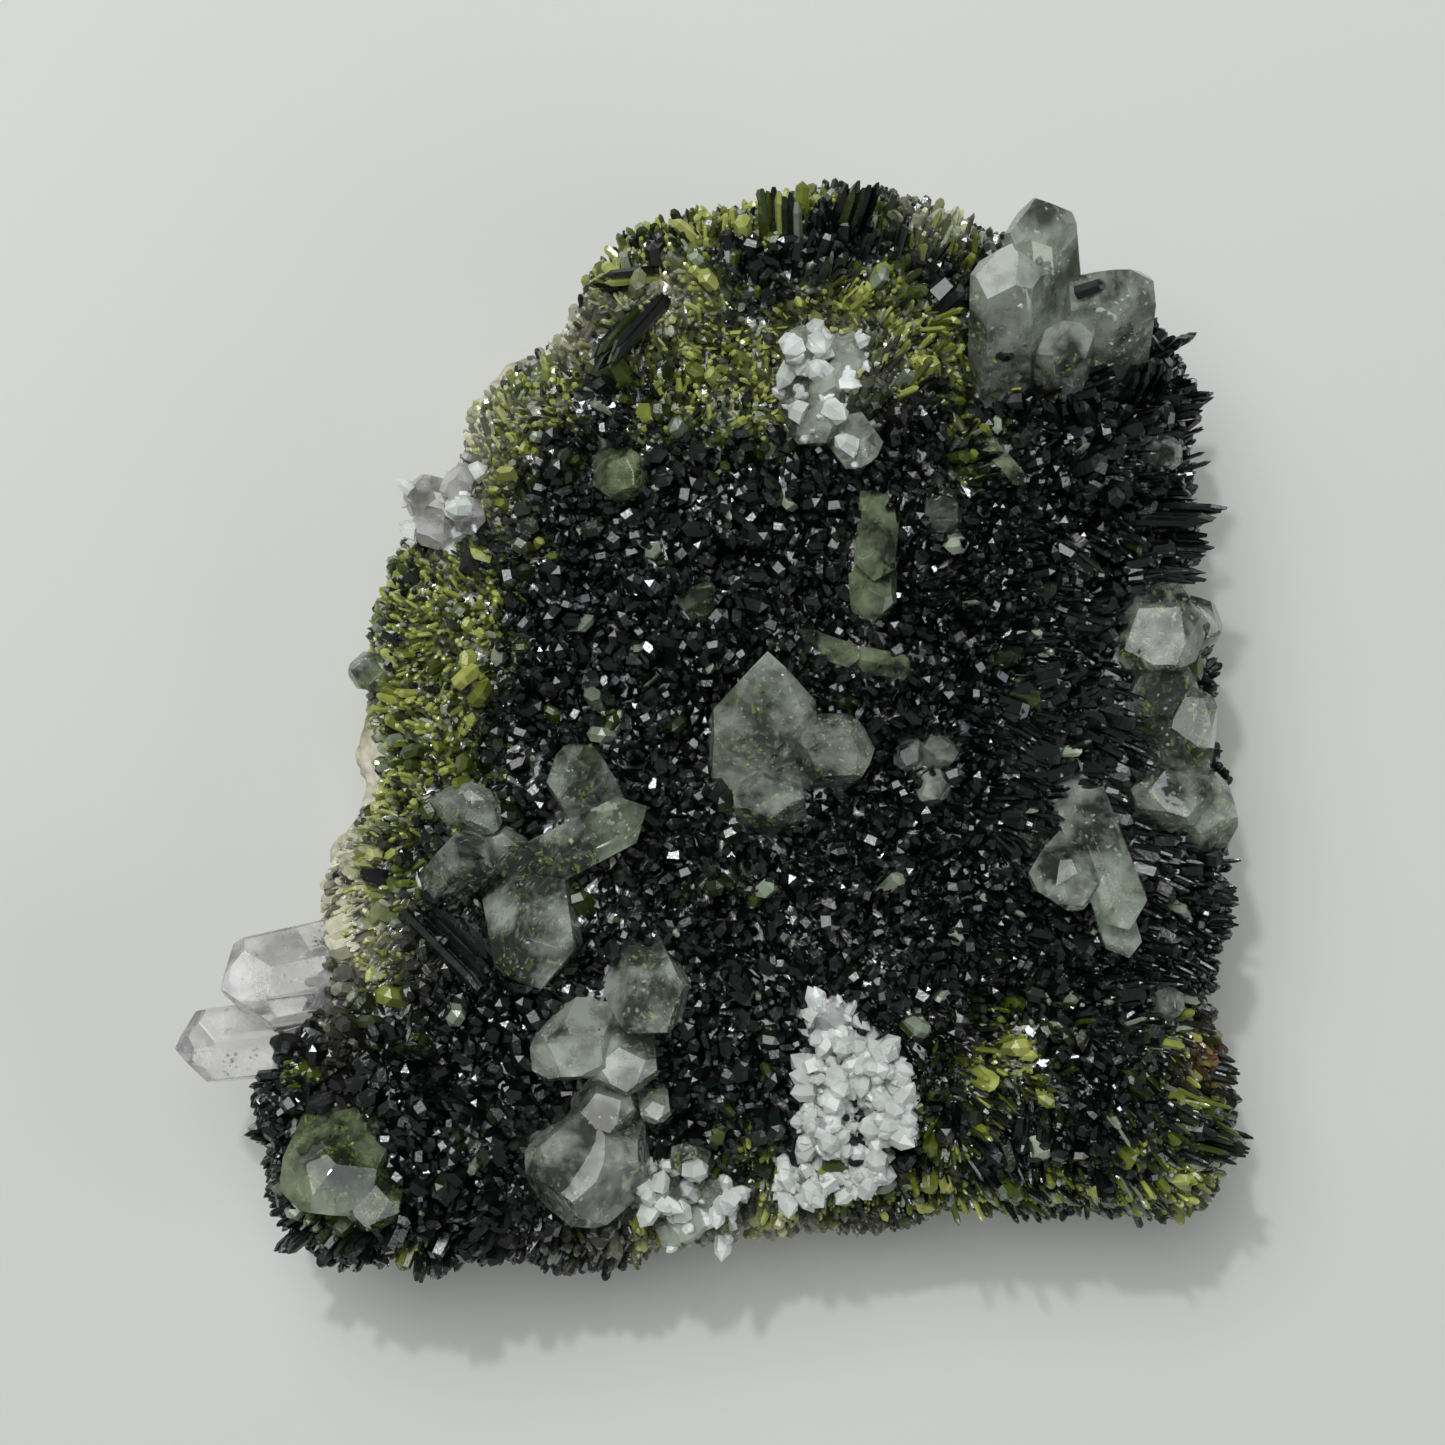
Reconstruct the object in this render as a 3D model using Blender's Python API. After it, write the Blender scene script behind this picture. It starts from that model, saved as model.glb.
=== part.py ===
"""Epidote crystals with quartz on a plate of matrix rock, lying on its flat back with the crystals up.

The plate is two solids that meet at a level plane: the pale matrix rock below, and the crust of dark
green epidote that covers it. Quartz crystals stand in pockets in the crust, one solid for each group
that grew together. Sizes are real sizes in millimetres until a mesh is made, +X is to the right and +Y
to the top of the specimen's face, and the origin is on the flat back.
"""

import math
from collections import namedtuple

import bmesh
import bpy
import numpy as np
from mathutils import Matrix, Vector

MM = 0.001

# Driving dimensions of the plate.
CRUST_LEVEL = 20.0
SEAM_LEVEL = 11.0
SEAM_GAP = 0.3
POCKET_GAP = 0.35
ROOT_LEVEL = 12.3
PLATE_CENTRE = (0.0, -4.0)
BALL_DETAIL = 5
CRUST_KEEP = 0.16
ROCK_KEEP = 0.13
RIM_DROP = 3.5
RIM_POWER = 7
ROCK_MARGIN = 2.6

# How a ball becomes each plate. Shoulder and hem are heights on the unit ball where the face ends and the
# back begins, the reaches are shares of the rim, and belly is how far down the wall it is widest.
Profile = namedtuple("Profile", "shoulder hem top_reach base_reach belly")
CRUST_PROFILE = Profile(-0.42, -0.7, 0.95, 0.965, 0.45)
ROCK_PROFILE = Profile(0.3, -0.3, 0.985, 0.85, 0.25)

# Uneven ground: how high the lumps are, how large, and the seed of each layer.
Lumpy = namedtuple("Lumpy", "height size seed")
FACE_LUMPS = [Lumpy(0.9, 9.0, 3), Lumpy(0.6, 4.2, 5)]
WALL_LUMPS = [Lumpy(0.9, 4.5, 8)]
ROCK_LUMPS = [Lumpy(1.5, 7.5, 21), Lumpy(0.7, 3.4, 22)]

# The smaller blades: places tried, share of the face's area they stand on, spacing, width, how much wider
# than thick, how deep they root, how high they rise, how far they lean out at the rim, and their sway.
BLADE_TRIES = 900
BLADE_AREA = 0.86
BLADE_SPACE = 5.5
BLADE_SEED = 11
BLADE_WIDTH = (1.8, 2.7)
BLADE_FLATNESS = 1.2
BLADE_ROOT = -1.6
BLADE_RISE = 3.0
BLADE_LEAN = 3.4
BLADE_SWAY = [Lumpy(2.2, 12.0, 31)]

# End faces: how far each is set back as a share of the thickness, how much the shafts taper, and where and
# which way a blade's two chisel faces cut it.
FACE_SETBACKS = (0.0, 0.16, 0.05, 0.22, 0.02, 0.12)
PRISM_TAPER = 0.93
BLADE_TAPER = 0.72
BLADE_ENDS = ((1.0, (0.0, 0.62, 0.78)), (0.97, (0.5, -0.6, 0.62)))

# The rim of the plate seen from above, clockwise from the top.
OUTLINE = [
    (13.2, 44.8), (17.8, 43.5), (21.9, 41.5), (25.7, 40.0), (30.7, 36.8), (36.3, 33.5), (39.0, 28.7),
    (39.6, 21.0), (39.8, 15.0), (38.8, 11.8), (40.4, 6.8), (41.3, -1.5), (42.4, -6.5), (42.2, -12.3),
    (42.4, -16.9), (41.4, -19.8), (40.6, -23.2), (42.0, -26.9), (43.2, -32.3), (42.8, -36.5),
    (40.9, -40.6), (37.3, -41.7), (28.2, -41.1), (18.2, -41.5), (8.2, -43.0), (1.5, -44.5),
    (-5.2, -44.8), (-18.5, -45.3), (-26.8, -45.7), (-31.0, -46.4), (-34.3, -45.2), (-37.4, -41.5),
    (-38.8, -34.8), (-39.6, -31.1), (-37.3, -26.5), (-35.2, -21.5), (-33.7, -16.5), (-34.3, -10.7),
    (-31.5, -5.7), (-31.8, 0.2), (-30.8, 6.0), (-28.3, 10.6), (-26.4, 15.2), (-24.8, 18.5),
    (-22.7, 22.7), (-22.4, 27.3), (-20.2, 29.8), (-14.3, 33.5), (-11.8, 37.0), (-6.8, 41.2),
    (-0.2, 43.2), (6.5, 44.3),
]

# Broad rises and hollows of the crust: place, half-widths, height.
Swell = namedtuple("Swell", "x y across along height")
SWELLS = [
    Swell(2.0, -1.0, 20.0, 17.0, -4.5),
    Swell(6.0, 37.0, 20.0, 10.0, 3.5),
    Swell(-1.0, 33.0, 8.0, 5.0, -2.5),
    Swell(33.0, 24.0, 8.0, 9.0, 2.5),
    Swell(34.0, 0.0, 6.0, 14.0, 1.5),
    Swell(30.0, -34.0, 12.0, 7.0, 2.0),
    Swell(-26.0, -38.0, 12.0, 8.0, 2.5),
    Swell(-31.0, 0.0, 7.0, 26.0, -2.5),
    Swell(10.0, -44.0, 34.0, 6.0, -2.0),
]

# Stretches of the rim where the crust stands back and the rock shows: bearing and half-width in degrees,
# how far the crust stands back, and how far the rock comes out.
Window = namedtuple("Window", "bearing half inset proud")
WINDOWS = [
    Window(181, 32, 3.4, 2.5),
    Window(122, 24, 2.2, 2.2),
    Window(-88, 18, 1.0, 1.6),
]

# A crystal runs from its foot to its tip. Heights are above the crust at the foot. Turn and slope are in
# degrees: turn is about its axis, and slope is how steeply its end faces rise.
Crystal = namedtuple("Crystal", "foot tip width thick turn slope")
RHOMB_SLOPE = 51.8


def quartz(foot, tip, width, thick, turn, slope=RHOMB_SLOPE):
    """A quartz crystal, with the end faces of a rhombohedron unless it is drawn out to a steeper point."""
    return Crystal(foot, tip, width, thick, turn, slope)


def blade(foot, tip, width, thick, turn):
    """An epidote blade."""
    return Crystal(foot, tip, width, thick, turn, 0.0)


QUARTZ_GROUPS = {
    "quartz_crown": [
        quartz((27.6, 31.0, -3.0), (25.0, 42.2, 10.8), 5.8, 4.4, 12, 60.0),
        quartz((24.4, 28.6, -3.0), (23.4, 38.9, 9.0), 7.2, 5.6, 25),
        quartz((31.8, 29.5, -3.0), (31.7, 37.2, 8.0), 7.4, 5.8, 5),
        quartz((28.4, 27.6, -2.5), (28.2, 33.0, 5.0), 5.0, 4.6, 40),
    ],
    "quartz_centre_pair": [
        quartz((3.2, -6.4, -2.5), (3.7, 6.7, 8.6), 9.0, 6.4, 8, 69.0),
        quartz((8.4, -3.0, -2.0), (10.6, -1.0, 6.4), 6.4, 6.0, 20),
        quartz((4.2, -8.4, -2.5), (3.6, -4.4, 5.2), 6.2, 4.8, 0),
    ],
    "quartz_left_group": [
        quartz((-10.0, -9.0, -2.0), (-13.4, -1.6, 6.2), 5.2, 3.8, 15, 64.0),
        quartz((-23.2, -7.8, -2.0), (-18.6, -6.8, 4.2), 4.6, 3.4, 30),
        quartz((-23.8, -14.2, -2.0), (-19.4, -9.6, 4.4), 4.8, 3.6, 0),
        quartz((-18.6, -13.6, -2.5), (-5.6, -6.8, 3.6), 4.4, 5.0, 0),
        quartz((-16.8, -12.0, -2.5), (-14.6, -22.6, 4.2), 7.4, 6.0, 10),
        quartz((-21.0, -11.6, -2.5), (-15.6, -10.8, 2.6), 4.6, 4.6, 20),
    ],
    "quartz_lower_group": [
        quartz((-7.4, -20.2, -2.0), (-4.2, -25.6, 6.4), 6.6, 5.2, 10, 58.0),
        quartz((-11.4, -24.8, -2.0), (-13.4, -29.4, 6.2), 6.6, 5.4, 35),
        quartz((-8.6, -25.6, -2.0), (-8.0, -30.6, 4.6), 6.0, 4.8, 0),
        quartz((-10.8, -35.4, -3.0), (-12.0, -39.6, 9.0), 9.8, 10.8, 22),
        quartz((-10.0, -30.0, -2.5), (-9.4, -34.0, 4.2), 5.4, 4.6, 12),
        quartz((-5.9, -30.2, -1.5), (-5.4, -32.8, 4.0), 2.6, 2.2, 0),
        quartz((-6.2, -38.4, -2.5), (-5.4, -40.2, 4.0), 4.6, 4.6, 0),
        quartz((-3.0, -37.2, -2.0), (-2.4, -36.0, 3.6), 3.6, 3.4, 18),
        quartz((-1.6, -40.0, -2.0), (0.8, -39.4, 3.8), 3.8, 3.4, 44),
        quartz((-3.8, -41.4, -2.0), (-3.2, -43.6, 3.2), 4.2, 3.6, 9),
        quartz((-0.2, -42.0, -2.0), (1.4, -43.4, 2.0), 3.2, 3.0, 31),
    ],
    "quartz_white_vein": [
        quartz((8.9, -26.6, -1.5), (9.8, -22.6, 2.6), 4.2, 3.4, 10),
        quartz((12.0, -30.0, -2.0), (13.6, -27.4, 3.2), 4.4, 4.0, 30),
        quartz((9.6, -30.6, -2.0), (8.2, -29.0, 3.6), 4.4, 4.2, 0),
        quartz((12.6, -33.2, -2.0), (15.4, -32.4, 3.0), 4.2, 3.8, 15),
        quartz((9.4, -33.8, -2.0), (7.0, -34.2, 3.4), 4.4, 4.2, 25),
        quartz((10.8, -36.4, -2.0), (12.4, -38.6, 2.4), 4.0, 3.6, 8),
        quartz((7.8, -37.2, -2.0), (5.6, -39.4, 2.6), 4.2, 3.6, 40),
        quartz((9.6, -28.4, -2.0), (10.6, -26.4, 2.4), 3.6, 3.4, 20),
    ],
    "quartz_edge_pair": [
        quartz((-32.6, -21.0, -4.0), (-42.4, -22.6, 3.4), 8.2, 6.4, 28),
        quartz((-34.4, -26.4, -4.0), (-46.6, -27.6, 0.6), 6.4, 5.4, 10),
    ],
    "quartz_left_druse": [
        quartz((-23.0, 18.6, -2.5), (-26.8, 19.4, 2.4), 3.8, 3.4, 0),
        quartz((-22.8, 17.0, -2.5), (-25.6, 15.8, 2.8), 3.6, 3.4, 20),
        quartz((-21.8, 19.2, -2.5), (-22.2, 20.6, 3.4), 3.4, 3.0, 35),
        quartz((-21.4, 17.4, -2.5), (-21.0, 17.2, 3.4), 3.2, 3.0, 10),
    ],
    "quartz_left_knob": [
        quartz((-28.6, 4.2, -2.5), (-31.6, 4.6, 2.0), 3.4, 3.6, 0),
    ],
    "quartz_right_long": [
        quartz((29.0, -3.8, -1.8), (33.6, -17.4, 4.0), 4.6, 4.0, 10),
        quartz((31.0, -10.6, -2.0), (26.2, -14.4, 5.4), 5.6, 5.2, 25),
        quartz((32.0, -13.6, -1.6), (33.6, -19.8, 2.4), 3.2, 2.8, 0),
    ],
    "quartz_right_edge": [
        quartz((35.8, 9.2, -3.0), (37.4, 4.6, 5.4), 8.0, 7.0, 20),
        quartz((38.0, 8.6, -3.5), (41.6, 7.4, 2.2), 5.0, 4.6, 0),
        quartz((36.2, 3.4, -3.0), (37.2, 0.2, 4.2), 6.4, 6.0, 10),
        quartz((37.0, 0.0, -3.0), (40.4, -2.4, 5.0), 7.6, 6.4, 35),
        quartz((37.0, -4.6, -3.0), (38.0, -8.2, 4.6), 6.6, 6.0, 0),
        quartz((38.2, -7.4, -3.5), (43.2, -7.6, 3.0), 6.6, 6.0, 15),
    ],
    "quartz_top_lumps": [
        quartz((7.0, 30.6, -2.0), (6.6, 32.0, 2.8), 4.0, 3.6, 0),
        quartz((9.6, 30.2, -2.0), (11.6, 31.4, 2.4), 4.2, 4.0, 30),
        quartz((8.4, 28.2, -2.0), (9.2, 27.4, 3.0), 4.4, 3.8, 12),
        quartz((6.6, 27.8, -2.0), (8.6, 22.8, 2.8), 4.6, 3.8, 20),
        quartz((9.4, 25.6, -2.0), (12.4, 21.0, 2.2), 4.0, 3.4, 5),
    ],
    "quartz_upright_strip": [
        quartz((13.4, 19.8, -1.8), (12.4, 11.4, 2.4), 3.6, 3.2, 0),
        quartz((12.6, 14.8, -1.6), (12.6, 8.0, 2.6), 3.8, 3.4, 20),
    ],
    "quartz_dim_point": [
        quartz((-9.6, 22.0, -2.0), (-7.0, 19.4, 4.0), 4.6, 4.2, 10),
    ],
    "quartz_small_hexagon": [
        quartz((-2.3, 10.8, -1.8), (-1.5, 9.9, 3.0), 3.5, 3.1, 0),
    ],
    "quartz_star": [
        quartz((17.0, -3.6, -1.8), (14.8, -2.2, 2.6), 2.8, 2.4, 0),
        quartz((17.2, -3.4, -1.8), (18.9, -1.6, 3.2), 2.9, 2.6, 15),
        quartz((17.4, -4.0, -1.8), (18.0, -6.6, 2.8), 2.8, 2.4, 30),
    ],
    "quartz_fin": [
        quartz((18.3, 15.4, -1.6), (18.1, 18.8, 3.6), 2.9, 1.7, 0),
    ],
    "quartz_right_bead": [
        quartz((36.2, 22.2, -2.0), (37.4, 22.8, 3.2), 3.3, 3.0, 10),
    ],
    "quartz_pale_blade": [
        quartz((21.2, 24.6, -0.9), (25.1, 19.5, 2.2), 1.5, 1.2, 0),
    ],
    "quartz_lower_bead": [
        quartz((37.0, -23.2, -1.8), (37.9, -23.9, 2.8), 2.8, 2.5, 10),
    ],
    "quartz_corner_green": [
        quartz((-31.2, -34.6, -3.0), (-33.4, -40.4, 6.4), 8.2, 7.2, 15),
        quartz((-28.8, -37.0, -3.0), (-29.4, -41.6, 4.4), 5.4, 5.0, 0),
    ],
    "quartz_ribbon": [
        quartz((5.6, 7.4, -1.2), (11.8, 5.3, 1.6), 2.2, 1.8, 0),
        quartz((9.2, 6.0, -1.2), (16.8, 4.4, 1.8), 2.2, 2.2, 10),
    ],
}

# Epidote prisms large enough to be told apart, and the points that stand out past the right edge.
LARGE_BLADES = [
    blade((20.2, 39.2, -1.5), (22.6, 32.6, 3.4), 2.8, 1.8, 20),
    blade((20.6, 31.4, -1.5), (24.6, 30.4, 4.6), 2.6, 1.8, 0),
    blade((-5.6, 35.4, -1.5), (-10.4, 29.2, 3.4), 3.4, 2.2, 0),
    blade((-5.8, 37.6, -1.5), (-10.8, 36.4, 3.0), 2.6, 2.0, 15),
    blade((-25.6, -15.2, -1.0), (-18.8, -21.2, 3.4), 4.2, 2.6, 0),
    blade((5.0, 39.0, -2.0), (4.6, 43.8, 3.6), 3.4, 2.2, 10),
    blade((10.0, 40.0, -2.0), (11.6, 44.6, 3.2), 3.2, 2.2, 40),
    blade((30.0, 24.0, -2.0), (27.6, 26.4, 4.4), 3.8, 3.0, 0),
    blade((34.0, 26.4, -2.0), (35.4, 29.6, 4.2), 3.8, 3.0, 20),
    blade((33.2, 17.6, -2.0), (41.4, 17.0, 2.2), 3.0, 1.8, 0),
    blade((34.0, 15.2, -2.5), (41.4, 14.8, 0.4), 2.4, 1.6, 30),
    blade((33.0, 13.2, -2.5), (40.6, 12.0, 0.6), 2.0, 1.5, 0),
    blade((36.0, 26.0, -2.5), (41.0, 27.0, 0.8), 2.4, 1.8, 10),
    blade((36.4, 31.0, -3.0), (39.6, 32.4, 0.4), 2.4, 1.8, 0),
    blade((38.2, -13.2, -2.5), (43.8, -14.8, 0.6), 2.2, 1.6, 0),
    blade((38.0, -17.0, -2.5), (43.6, -17.4, -0.4), 2.2, 1.6, 25),
    blade((38.8, -28.6, -2.5), (43.8, -29.8, -0.4), 2.4, 1.8, 0),
    blade((39.2, -34.4, -2.5), (44.4, -35.6, -0.8), 2.2, 1.6, 10),
    blade((-35.4, -34.0, -3.0), (-40.6, -34.6, -0.6), 2.8, 2.0, 0),
    blade((-34.2, -42.4, -3.0), (-37.6, -45.2, -0.6), 2.8, 2.0, 20),
    blade((-24.4, -42.6, -3.0), (-24.6, -46.8, 0.0), 3.0, 2.2, 0),
    blade((-20.6, -33.6, -2.0), (-23.4, -31.2, 4.2), 3.6, 2.6, 0),
    blade((-19.2, -38.6, -2.0), (-21.6, -40.4, 4.4), 3.8, 2.8, 30),
    blade((-24.6, -28.4, -2.0), (-27.2, -27.0, 3.6), 3.2, 2.4, 10),
]


def shade_of(hex_colour):
    """Linear RGBA of an sRGB colour such as "2A3B14"."""
    channels = [int(hex_colour[i : i + 2], 16) / 255 for i in (0, 2, 4)]
    return [c / 12.92 if c < 0.04045 else ((c + 0.055) / 1.055) ** 2.4 for c in channels] + [1.0]


def material(name, hex_colour, roughness, transmission=0.0, ior=1.5):
    """A Principled material."""
    made = bpy.data.materials.new(name)
    made.use_nodes = True
    shader = made.node_tree.nodes["Principled BSDF"]
    shader.inputs["Base Color"].default_value = shade_of(hex_colour)
    shader.inputs["Roughness"].default_value = roughness
    shader.inputs["Metallic"].default_value = 0.0
    shader.inputs["Transmission Weight"].default_value = transmission
    shader.inputs["IOR"].default_value = ior
    made.diffuse_color = shade_of(hex_colour)
    return made


def finish(target, chosen):
    """Gives an object one material and no other."""
    target.data.materials.clear()
    target.data.materials.append(chosen)


def object_from(work, name, collection):
    """A new object that takes a bmesh, with its faces pointing out."""
    bmesh.ops.recalc_face_normals(work, faces=work.faces)
    mesh = bpy.data.meshes.new(name)
    work.to_mesh(mesh)
    work.free()
    made = bpy.data.objects.new(name, mesh)
    collection.objects.link(made)
    return made


def rim_radius(angle):
    """Distance from the plate's centre to its rim at an angle in radians: the outline, read in polar form."""
    away = np.array(OUTLINE) - PLATE_CENTRE
    bearings = np.arctan2(away[:, 1], away[:, 0])
    return np.interp(angle, bearings, np.hypot(away[:, 0], away[:, 1]), period=2 * math.pi)


def facing(angle, middle, half):
    """1 at an angle in degrees and 0 further than half from it, with a smooth shoulder between."""
    off = (np.degrees(angle) - middle + 180) % 360 - 180
    return np.clip(1 - (off / half) ** 2, 0, 1) ** 2


def lattice_value(i, j, k, seed):
    """A fixed random value from -1 to 1 for each whole-number place."""
    n = (i * 73856093) ^ (j * 19349663) ^ (k * 83492791) ^ (seed * 40503)
    n = ((n ^ (n >> 13)) * 1274126177) & 0xFFFFFFFF
    return ((n ^ (n >> 16)) & 0xFFFF) / 32767.5 - 1


def lumps(points, size, seed):
    """Smooth value noise from -1 to 1 at points, with lumps of that size: lattice values blended by a cubic."""
    scaled = np.asarray(points, float) / size
    cell = np.floor(scaled).astype(np.int64)
    part = scaled - cell
    part = part * part * (3 - 2 * part)
    total = np.zeros(len(scaled))
    for dx in (0, 1):
        for dy in (0, 1):
            for dz in (0, 1):
                share = np.prod(np.where((dx, dy, dz), part, 1 - part), axis=1)
                total += share * lattice_value(cell[:, 0] + dx, cell[:, 1] + dy, cell[:, 2] + dz, seed)
    return total


def unevenness(points, layers):
    """The sum of layers of lumps at points."""
    return sum(layer.height * lumps(points, layer.size, layer.seed) for layer in layers)


def crust_height(x, y):
    """Height of the crust's face over a place: the plate's level, its swells, lumps, and a drop to the rim."""
    x, y = np.atleast_1d(x).astype(float), np.atleast_1d(y).astype(float)
    height = np.full(len(x), CRUST_LEVEL)
    for swell in SWELLS:
        reach = ((x - swell.x) / swell.across) ** 2 + ((y - swell.y) / swell.along) ** 2
        height += swell.height * np.exp(-reach)
    height += unevenness(np.stack([x, y, np.zeros(len(x))], axis=1), FACE_LUMPS)
    dx, dy = x - PLATE_CENTRE[0], y - PLATE_CENTRE[1]
    share = np.hypot(dx, dy) / rim_radius(np.arctan2(dy, dx))
    return height - RIM_DROP * np.clip(share, 0, 1.05) ** RIM_POWER


def ball_directions(mesh):
    """Bearing and height of each vertex of a unit ball."""
    points = np.empty(len(mesh.vertices) * 3, np.float32)
    mesh.vertices.foreach_get("co", points)
    points = points.reshape(-1, 3).astype(float)
    points /= np.linalg.norm(points, axis=1)[:, None]
    return np.arctan2(points[:, 1], points[:, 0]), points[:, 2]


def plate_share(rise, form):
    """How a ball becomes a plate: the part above the shoulder is the face, the part below the hem the back.

    It gives the reach from the centre as a share of the rim, and how far down the wall a point is from 0
    at the face to 1 at the back. The wall bulges to the full rim at the belly.
    """
    face = np.sqrt(np.clip((1 - rise) / (1 - form.shoulder), 0, 1)) * form.top_reach
    back = np.sqrt(np.clip((1 + rise) / (1 + form.hem), 0, 1)) * form.base_reach
    down = np.clip((form.shoulder - rise) / (form.shoulder - form.hem), 0, 1)
    upper = 1 - (1 - form.top_reach) * np.clip(1 - down / form.belly, 0, 1) ** 2
    lower = 1 - (1 - form.base_reach) * np.clip((down - form.belly) / (1 - form.belly), 0, 1) ** 2
    reach = np.where(rise > form.shoulder, face, np.where(rise < form.hem, back, upper * lower))
    return reach, down


def shaped_ball(name, shape, keep, collection):
    """A ball of even triangles, moved to shape(bearing, rise), then thinned to that share of its faces."""
    work = bmesh.new()
    bmesh.ops.create_icosphere(work, subdivisions=BALL_DETAIL, radius=1.0)
    made = object_from(work, name, collection)
    points = shape(*ball_directions(made.data)) * MM
    made.data.vertices.foreach_set("co", points.astype(np.float32).ravel())
    made.data.update()
    thin = made.modifiers.new("thin", "DECIMATE")
    thin.ratio = keep
    settle(made)
    return made


def plate_places(rim, reach, bearing):
    """Places on the level plane at a share of the rim's radius along a bearing."""
    x = PLATE_CENTRE[0] + rim * reach * np.cos(bearing)
    y = PLATE_CENTRE[1] + rim * reach * np.sin(bearing)
    return x, y


def pushed_out(x, y, z, bearing, bulge):
    """Rows of points, each moved outwards along its bearing."""
    return np.stack([x + bulge * np.cos(bearing), y + bulge * np.sin(bearing), z], axis=1)


def crust_shape(bearing, rise):
    """The crust's slab: a lumpy face, a bulging wall and a level underside."""
    rim = rim_radius(bearing) - sum(w.inset * facing(bearing, w.bearing, w.half) for w in WINDOWS)
    reach, down = plate_share(rise, CRUST_PROFILE)
    x, y = plate_places(rim, reach, bearing)
    face = crust_height(x, y)
    z = face + (SEAM_LEVEL + SEAM_GAP - face) * down
    bulge = unevenness(np.stack([x, y, z], axis=1), WALL_LUMPS) * np.sin(math.pi * down)
    return pushed_out(x, y, z, bearing, bulge)


def rock_shape(bearing, rise):
    """The matrix rock: a level top, a broken flank, and a flat back."""
    rim = rim_radius(bearing) - ROCK_MARGIN
    rim = rim + sum(w.proud * facing(bearing, w.bearing, w.half) for w in WINDOWS)
    reach, down = plate_share(rise, ROCK_PROFILE)
    x, y = plate_places(rim, reach, bearing)
    z = SEAM_LEVEL * (1 - down)
    bulge = unevenness(np.stack([x, y, z], axis=1), ROCK_LUMPS) * np.sin(math.pi * down)
    return pushed_out(x, y, z, bearing, bulge)


def crystal_ends(crystal):
    """Foot and tip in metres, with their heights counted from the crust's face at the foot."""
    ground = float(crust_height(crystal.foot[0], crystal.foot[1])[0])
    return [Vector((x, y, ground + z)) * MM for x, y, z in (crystal.foot, crystal.tip)]


def along(axis, turn):
    """A rotation that takes +Z to the axis, with the turn about it."""
    return axis.to_track_quat("Z", "Y").to_matrix().to_4x4() @ Matrix.Rotation(math.radians(turn), 4, "Z")


def cut_flat(work, point, normal):
    """Slices away what lies past a plane and closes the cut."""
    geometry = work.verts[:] + work.edges[:] + work.faces[:]
    bmesh.ops.bisect_plane(work, geom=geometry, plane_co=point, plane_no=normal, clear_outer=True)
    bmesh.ops.delete(work, geom=work.faces[:], context="FACES_ONLY")
    bmesh.ops.convex_hull(work, input=work.verts[:])
    bmesh.ops.dissolve_limit(work, angle_limit=0.01, verts=work.verts[:], edges=work.edges[:])


def set_in_place(work, crystal, foot, axis, root):
    """Moves a crystal made along +Z to its foot and axis, and ends its root level at a height."""
    place = Matrix.Translation(foot) @ along(axis, crystal.turn)
    bmesh.ops.transform(work, matrix=place, verts=work.verts)
    cut_flat(work, Vector((0, 0, root)), Vector((0, 0, -1)))
    return work


def quartz_prism(crystal, grow):
    """A six-sided prism closed by six sloping faces set back unevenly, as a bmesh.

    Grow moves each face out. The root ends level, above the seam between crust and rock.
    """
    foot, tip = crystal_ends(crystal)
    axis = (tip - foot).normalized()
    length = (tip - foot).length + grow
    across = crystal.width * MM / 2 / math.cos(math.pi / 6) + grow
    through = crystal.thick * MM / 2 + grow
    slope = math.radians(crystal.slope)
    work = bmesh.new()
    bmesh.ops.create_cone(
        work, cap_ends=True, segments=6, radius1=1.0, radius2=PRISM_TAPER, depth=length + grow
    )
    for corner in work.verts:
        corner.co.x *= across
        corner.co.y *= through
        corner.co.z += (length - grow) / 2
    for step in range(6):
        setback = FACE_SETBACKS[(step + int(crystal.turn)) % 6]
        bearing = math.radians(60 * step + 30)
        side = Vector((math.cos(bearing) * through / across, math.sin(bearing), 0)) * math.sin(slope)
        normal = (side + Vector((0, 0, math.cos(slope)))).normalized()
        cut_flat(work, Vector((0, 0, length)) + normal * (grow - setback * through), normal)
    return set_in_place(work, crystal, foot, axis, ROOT_LEVEL * MM - grow)


def blade_prism(crystal):
    """An epidote blade: a flattened six-sided prism that tapers to a chisel end, as a bmesh."""
    foot, tip = crystal_ends(crystal)
    axis = (tip - foot).normalized()
    length = (tip - foot).length
    work = bmesh.new()
    bmesh.ops.create_cone(
        work, cap_ends=True, segments=6, radius1=0.5, radius2=0.5 * BLADE_TAPER, depth=length
    )
    for corner in work.verts:
        corner.co.x *= crystal.width * MM
        corner.co.y *= crystal.thick * MM
        corner.co.z += length / 2
    for share, normal in BLADE_ENDS:
        cut_flat(work, Vector((0, 0, length * share)), Vector(normal).normalized())
    return set_in_place(work, crystal, foot, axis, ROOT_LEVEL * MM)


def settle(target):
    """Keeps what the object's modifiers make as its own mesh."""
    graph = bpy.context.evaluated_depsgraph_get()
    made = bpy.data.meshes.new_from_object(target.evaluated_get(graph))
    target.modifiers.clear()
    target.data = made


def combine(target, other, operation):
    """A Boolean of two closed meshes, kept as the target's mesh. The other object is removed."""
    cut = target.modifiers.new(operation, "BOOLEAN")
    cut.operation = operation
    cut.object = other
    cut.solver = "EXACT"
    cut.use_self = operation == "UNION"
    settle(target)
    bpy.data.objects.remove(other)


def joined(solids, name, collection):
    """One object that holds several bmeshes side by side."""
    whole = bmesh.new()
    for solid in solids:
        bmesh.ops.recalc_face_normals(solid, faces=solid.faces)
        loose = bpy.data.meshes.new("loose")
        solid.to_mesh(loose)
        solid.free()
        whole.from_mesh(loose)
        bpy.data.meshes.remove(loose)
    return object_from(whole, name, collection)


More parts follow.
